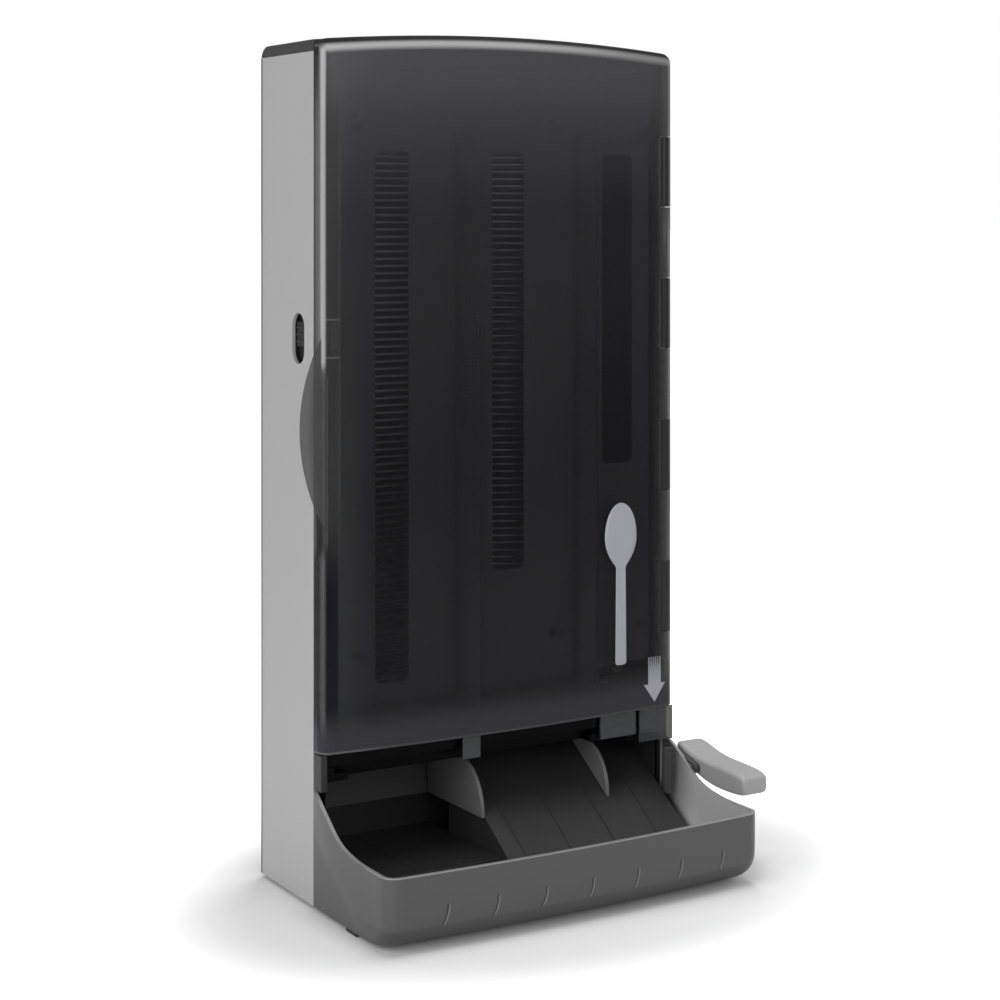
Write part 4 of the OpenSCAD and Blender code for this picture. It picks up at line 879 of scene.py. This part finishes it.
# a lighter copy of the tray's grey on the cut top of its wall, a painted highlight on the lip
trayRimHighlight = mouldedPlastic("trayRimHighlight", grey(0.26), roughness=0.3, mottle=0.03)
trayDark = mouldedPlastic("trayDark", grey(0.022), roughness=0.36)
deckGrey = mouldedPlastic("deckGrey", grey(0.03), roughness=0.34, mottle=0.05)
finGrey = mouldedPlastic("finGrey", grey(0.15), roughness=0.35, mottle=0.03)
leverGrey = mouldedPlastic("leverGrey", grey(0.365), roughness=0.42, mottle=0.02)
armGrey = mouldedPlastic("armGrey", grey(0.04), roughness=0.4, mottle=0.03)
spoonBlack = mouldedPlastic("spoonBlack", grey(0.015), roughness=0.28)
spoonEdgeHighlight = edgeHighlightPlastic("spoonEdgeHighlight", low=0.035, high=0.4)
nylonWhite = mouldedPlastic("nylonWhite", grey(0.7), roughness=0.4, mottle=0.02)
rubberBlack = mouldedPlastic("rubberBlack", grey(0.02), roughness=0.7)
ink = (0.36, 0.375, 0.405, 1)
inkGrey = mouldedPlastic("inkGrey", ink, roughness=0.5, mottle=0.01)
arrowInk = fadingInk("arrowInk", ink)
smokeCover = coverPlastic("smokeCover")
clearPlastic = smokePlastic("clearPlastic", (0.055, 0.058, 0.072, 1), alpha=0.6, roughness=0.1, gloss=0.5,
                            clearer=(0.12, 0.113, 0.117), relief=0.1)
# a lighter copy of the clear plastic, a painted highlight on the clear parts' edges
clearEdgeHighlight = smokePlastic("clearEdgeHighlight", (0.3, 0.31, 0.34, 1), alpha=0.8, roughness=0.2, gloss=0.5, relief=0.1)
brightSteel = metalFinish("brightSteel", grey(0.6), roughness=0.3)
earSmoke = smokePlastic("earSmoke", (0.035, 0.035, 0.037, 1), alpha=0.6, roughness=0.14, gloss=0.2)
latchSmoke = smokePlastic("latchSmoke", (0.3, 0.3, 0.31, 1), alpha=0.7, roughness=0.2)
ribSmoke = smokePlastic("ribSmoke", (0.012, 0.012, 0.013, 1), alpha=0.9, roughness=0.25)
bossSmoke = smokePlastic("bossSmoke", (0.02, 0.02, 0.022, 1), alpha=0.12, roughness=0.2, gloss=0.1)
stripSmoke = smokePlastic("stripSmoke", (0.012, 0.012, 0.013, 1), alpha=0.95, roughness=0.3)
linerBlack = smokePlastic("linerBlack", (0.066, 0.064, 0.075, 1), alpha=0.85, roughness=0.4, gloss=0.2)
earClear = smokePlastic("earClear", (0.055, 0.056, 0.054, 1), alpha=0.8, roughness=0.2)
columnClear = smokePlastic("columnClear", (0.10, 0.10, 0.105, 1), alpha=0.3, roughness=0.12, gloss=0.5)
# black plastic, made darker still and with its reflection turned down, as painted shade for the shaded
# outlet
gateBlackShaded = mouldedPlastic("gateBlackShaded", grey(0.0015), roughness=0.3, **{"Specular IOR Level": 0.06})
# a lighter copy of the tray's grey for the panel behind the well, painted light against its shade
wellGrey = mouldedPlastic("wellGrey", grey(0.1), roughness=0.35, mottle=0.03)
print("materials ready")

makeCover()
makePad()
makePane()
makeSign()
makeTray()
makeSpoons()
print("cover, tray and spoons made")

# CAD nodes that keep their shape and get eased edges: node, width of the easing, finish
eased = [
    ("left_panel", 0.5, panelGrey), ("right_panel", 0.5, panelGrey), ("top_cap", 0.6, capSmoke),
    ("left_cheek", 0.5, frameBlack), ("right_cheek", 0.5, frameBlack), ("hinge_strip", 0.4, stripSmoke),
    ("door_liner", 0.4, linerBlack), ("outlet_ear", 0.4, earClear), ("upper_gate", 0.4, gateBlackShaded),
    ("lower_gate", 0.4, gateBlackShaded), ("deck", 0.25, deckGrey), ("well_floor", 0.3, trayDark),
    ("outlet_back", 0.6, wellGrey), ("fin_left", 1.0, finGrey), ("fin_right", 1.0, finGrey),
    ("corner_column", 0.6, columnClear), ("latch_slider", 0.5, frameBlack), ("lever_arm", 0.8, armGrey),
    ("lever_cap", 0.6, frameBlack), ("feet", 0.8, rubberBlack),
]
for node, width, finish in eased:
    softened(node, width, finish)
for node in ("door_guides", "door_guard"):
    softened(node, 0.5, clearPlastic, clearEdgeHighlight)
print("eased copies made")

# Finishes of the CAD nodes themselves; the rest are frameBlack
plain = {
    "left_panel": panelGrey, "right_panel": panelGrey, "outlet_back": trayGrey, "top_cap": capSmoke,
    "hinge_strip": stripSmoke, "front_cover": smokeCover, "door_guides": clearPlastic,
    "door_guard": clearPlastic, "tray": trayGrey, "deck": trayDark, "well_floor": trayDark,
    "fin_left": finGrey, "fin_right": finGrey, "lever_pad": leverGrey, "lever_arm": leverGrey,
    "spoon_stack": spoonBlack, "drive_sector": nylonWhite, "pinion": nylonWhite,
    "shaft_bush_outer": nylonWhite, "shaft_bush_inner": nylonWhite, "feet": rubberBlack,
    "spoon_icon": inkGrey, "arrow_icon": arrowInk, "latch_slider": finGrey, "outlet_frame": gateBlackShaded,
}
for nodeName in ("hinge_pin", "latch_spring", "return_spring", "lever_shaft", "pinion_shaft", "back_screws",
                 "cap_screws", "lever_screws", "strip_screws", "tray_screws"):
    plain[nodeName] = brightSteel
for nodeName in nodes:
    finishes = nodes[nodeName].data.materials
    finishes.clear()
    finishes.append(plain.get(nodeName, frameBlack))
print("finishes ready")

bpy.context.view_layer.update()
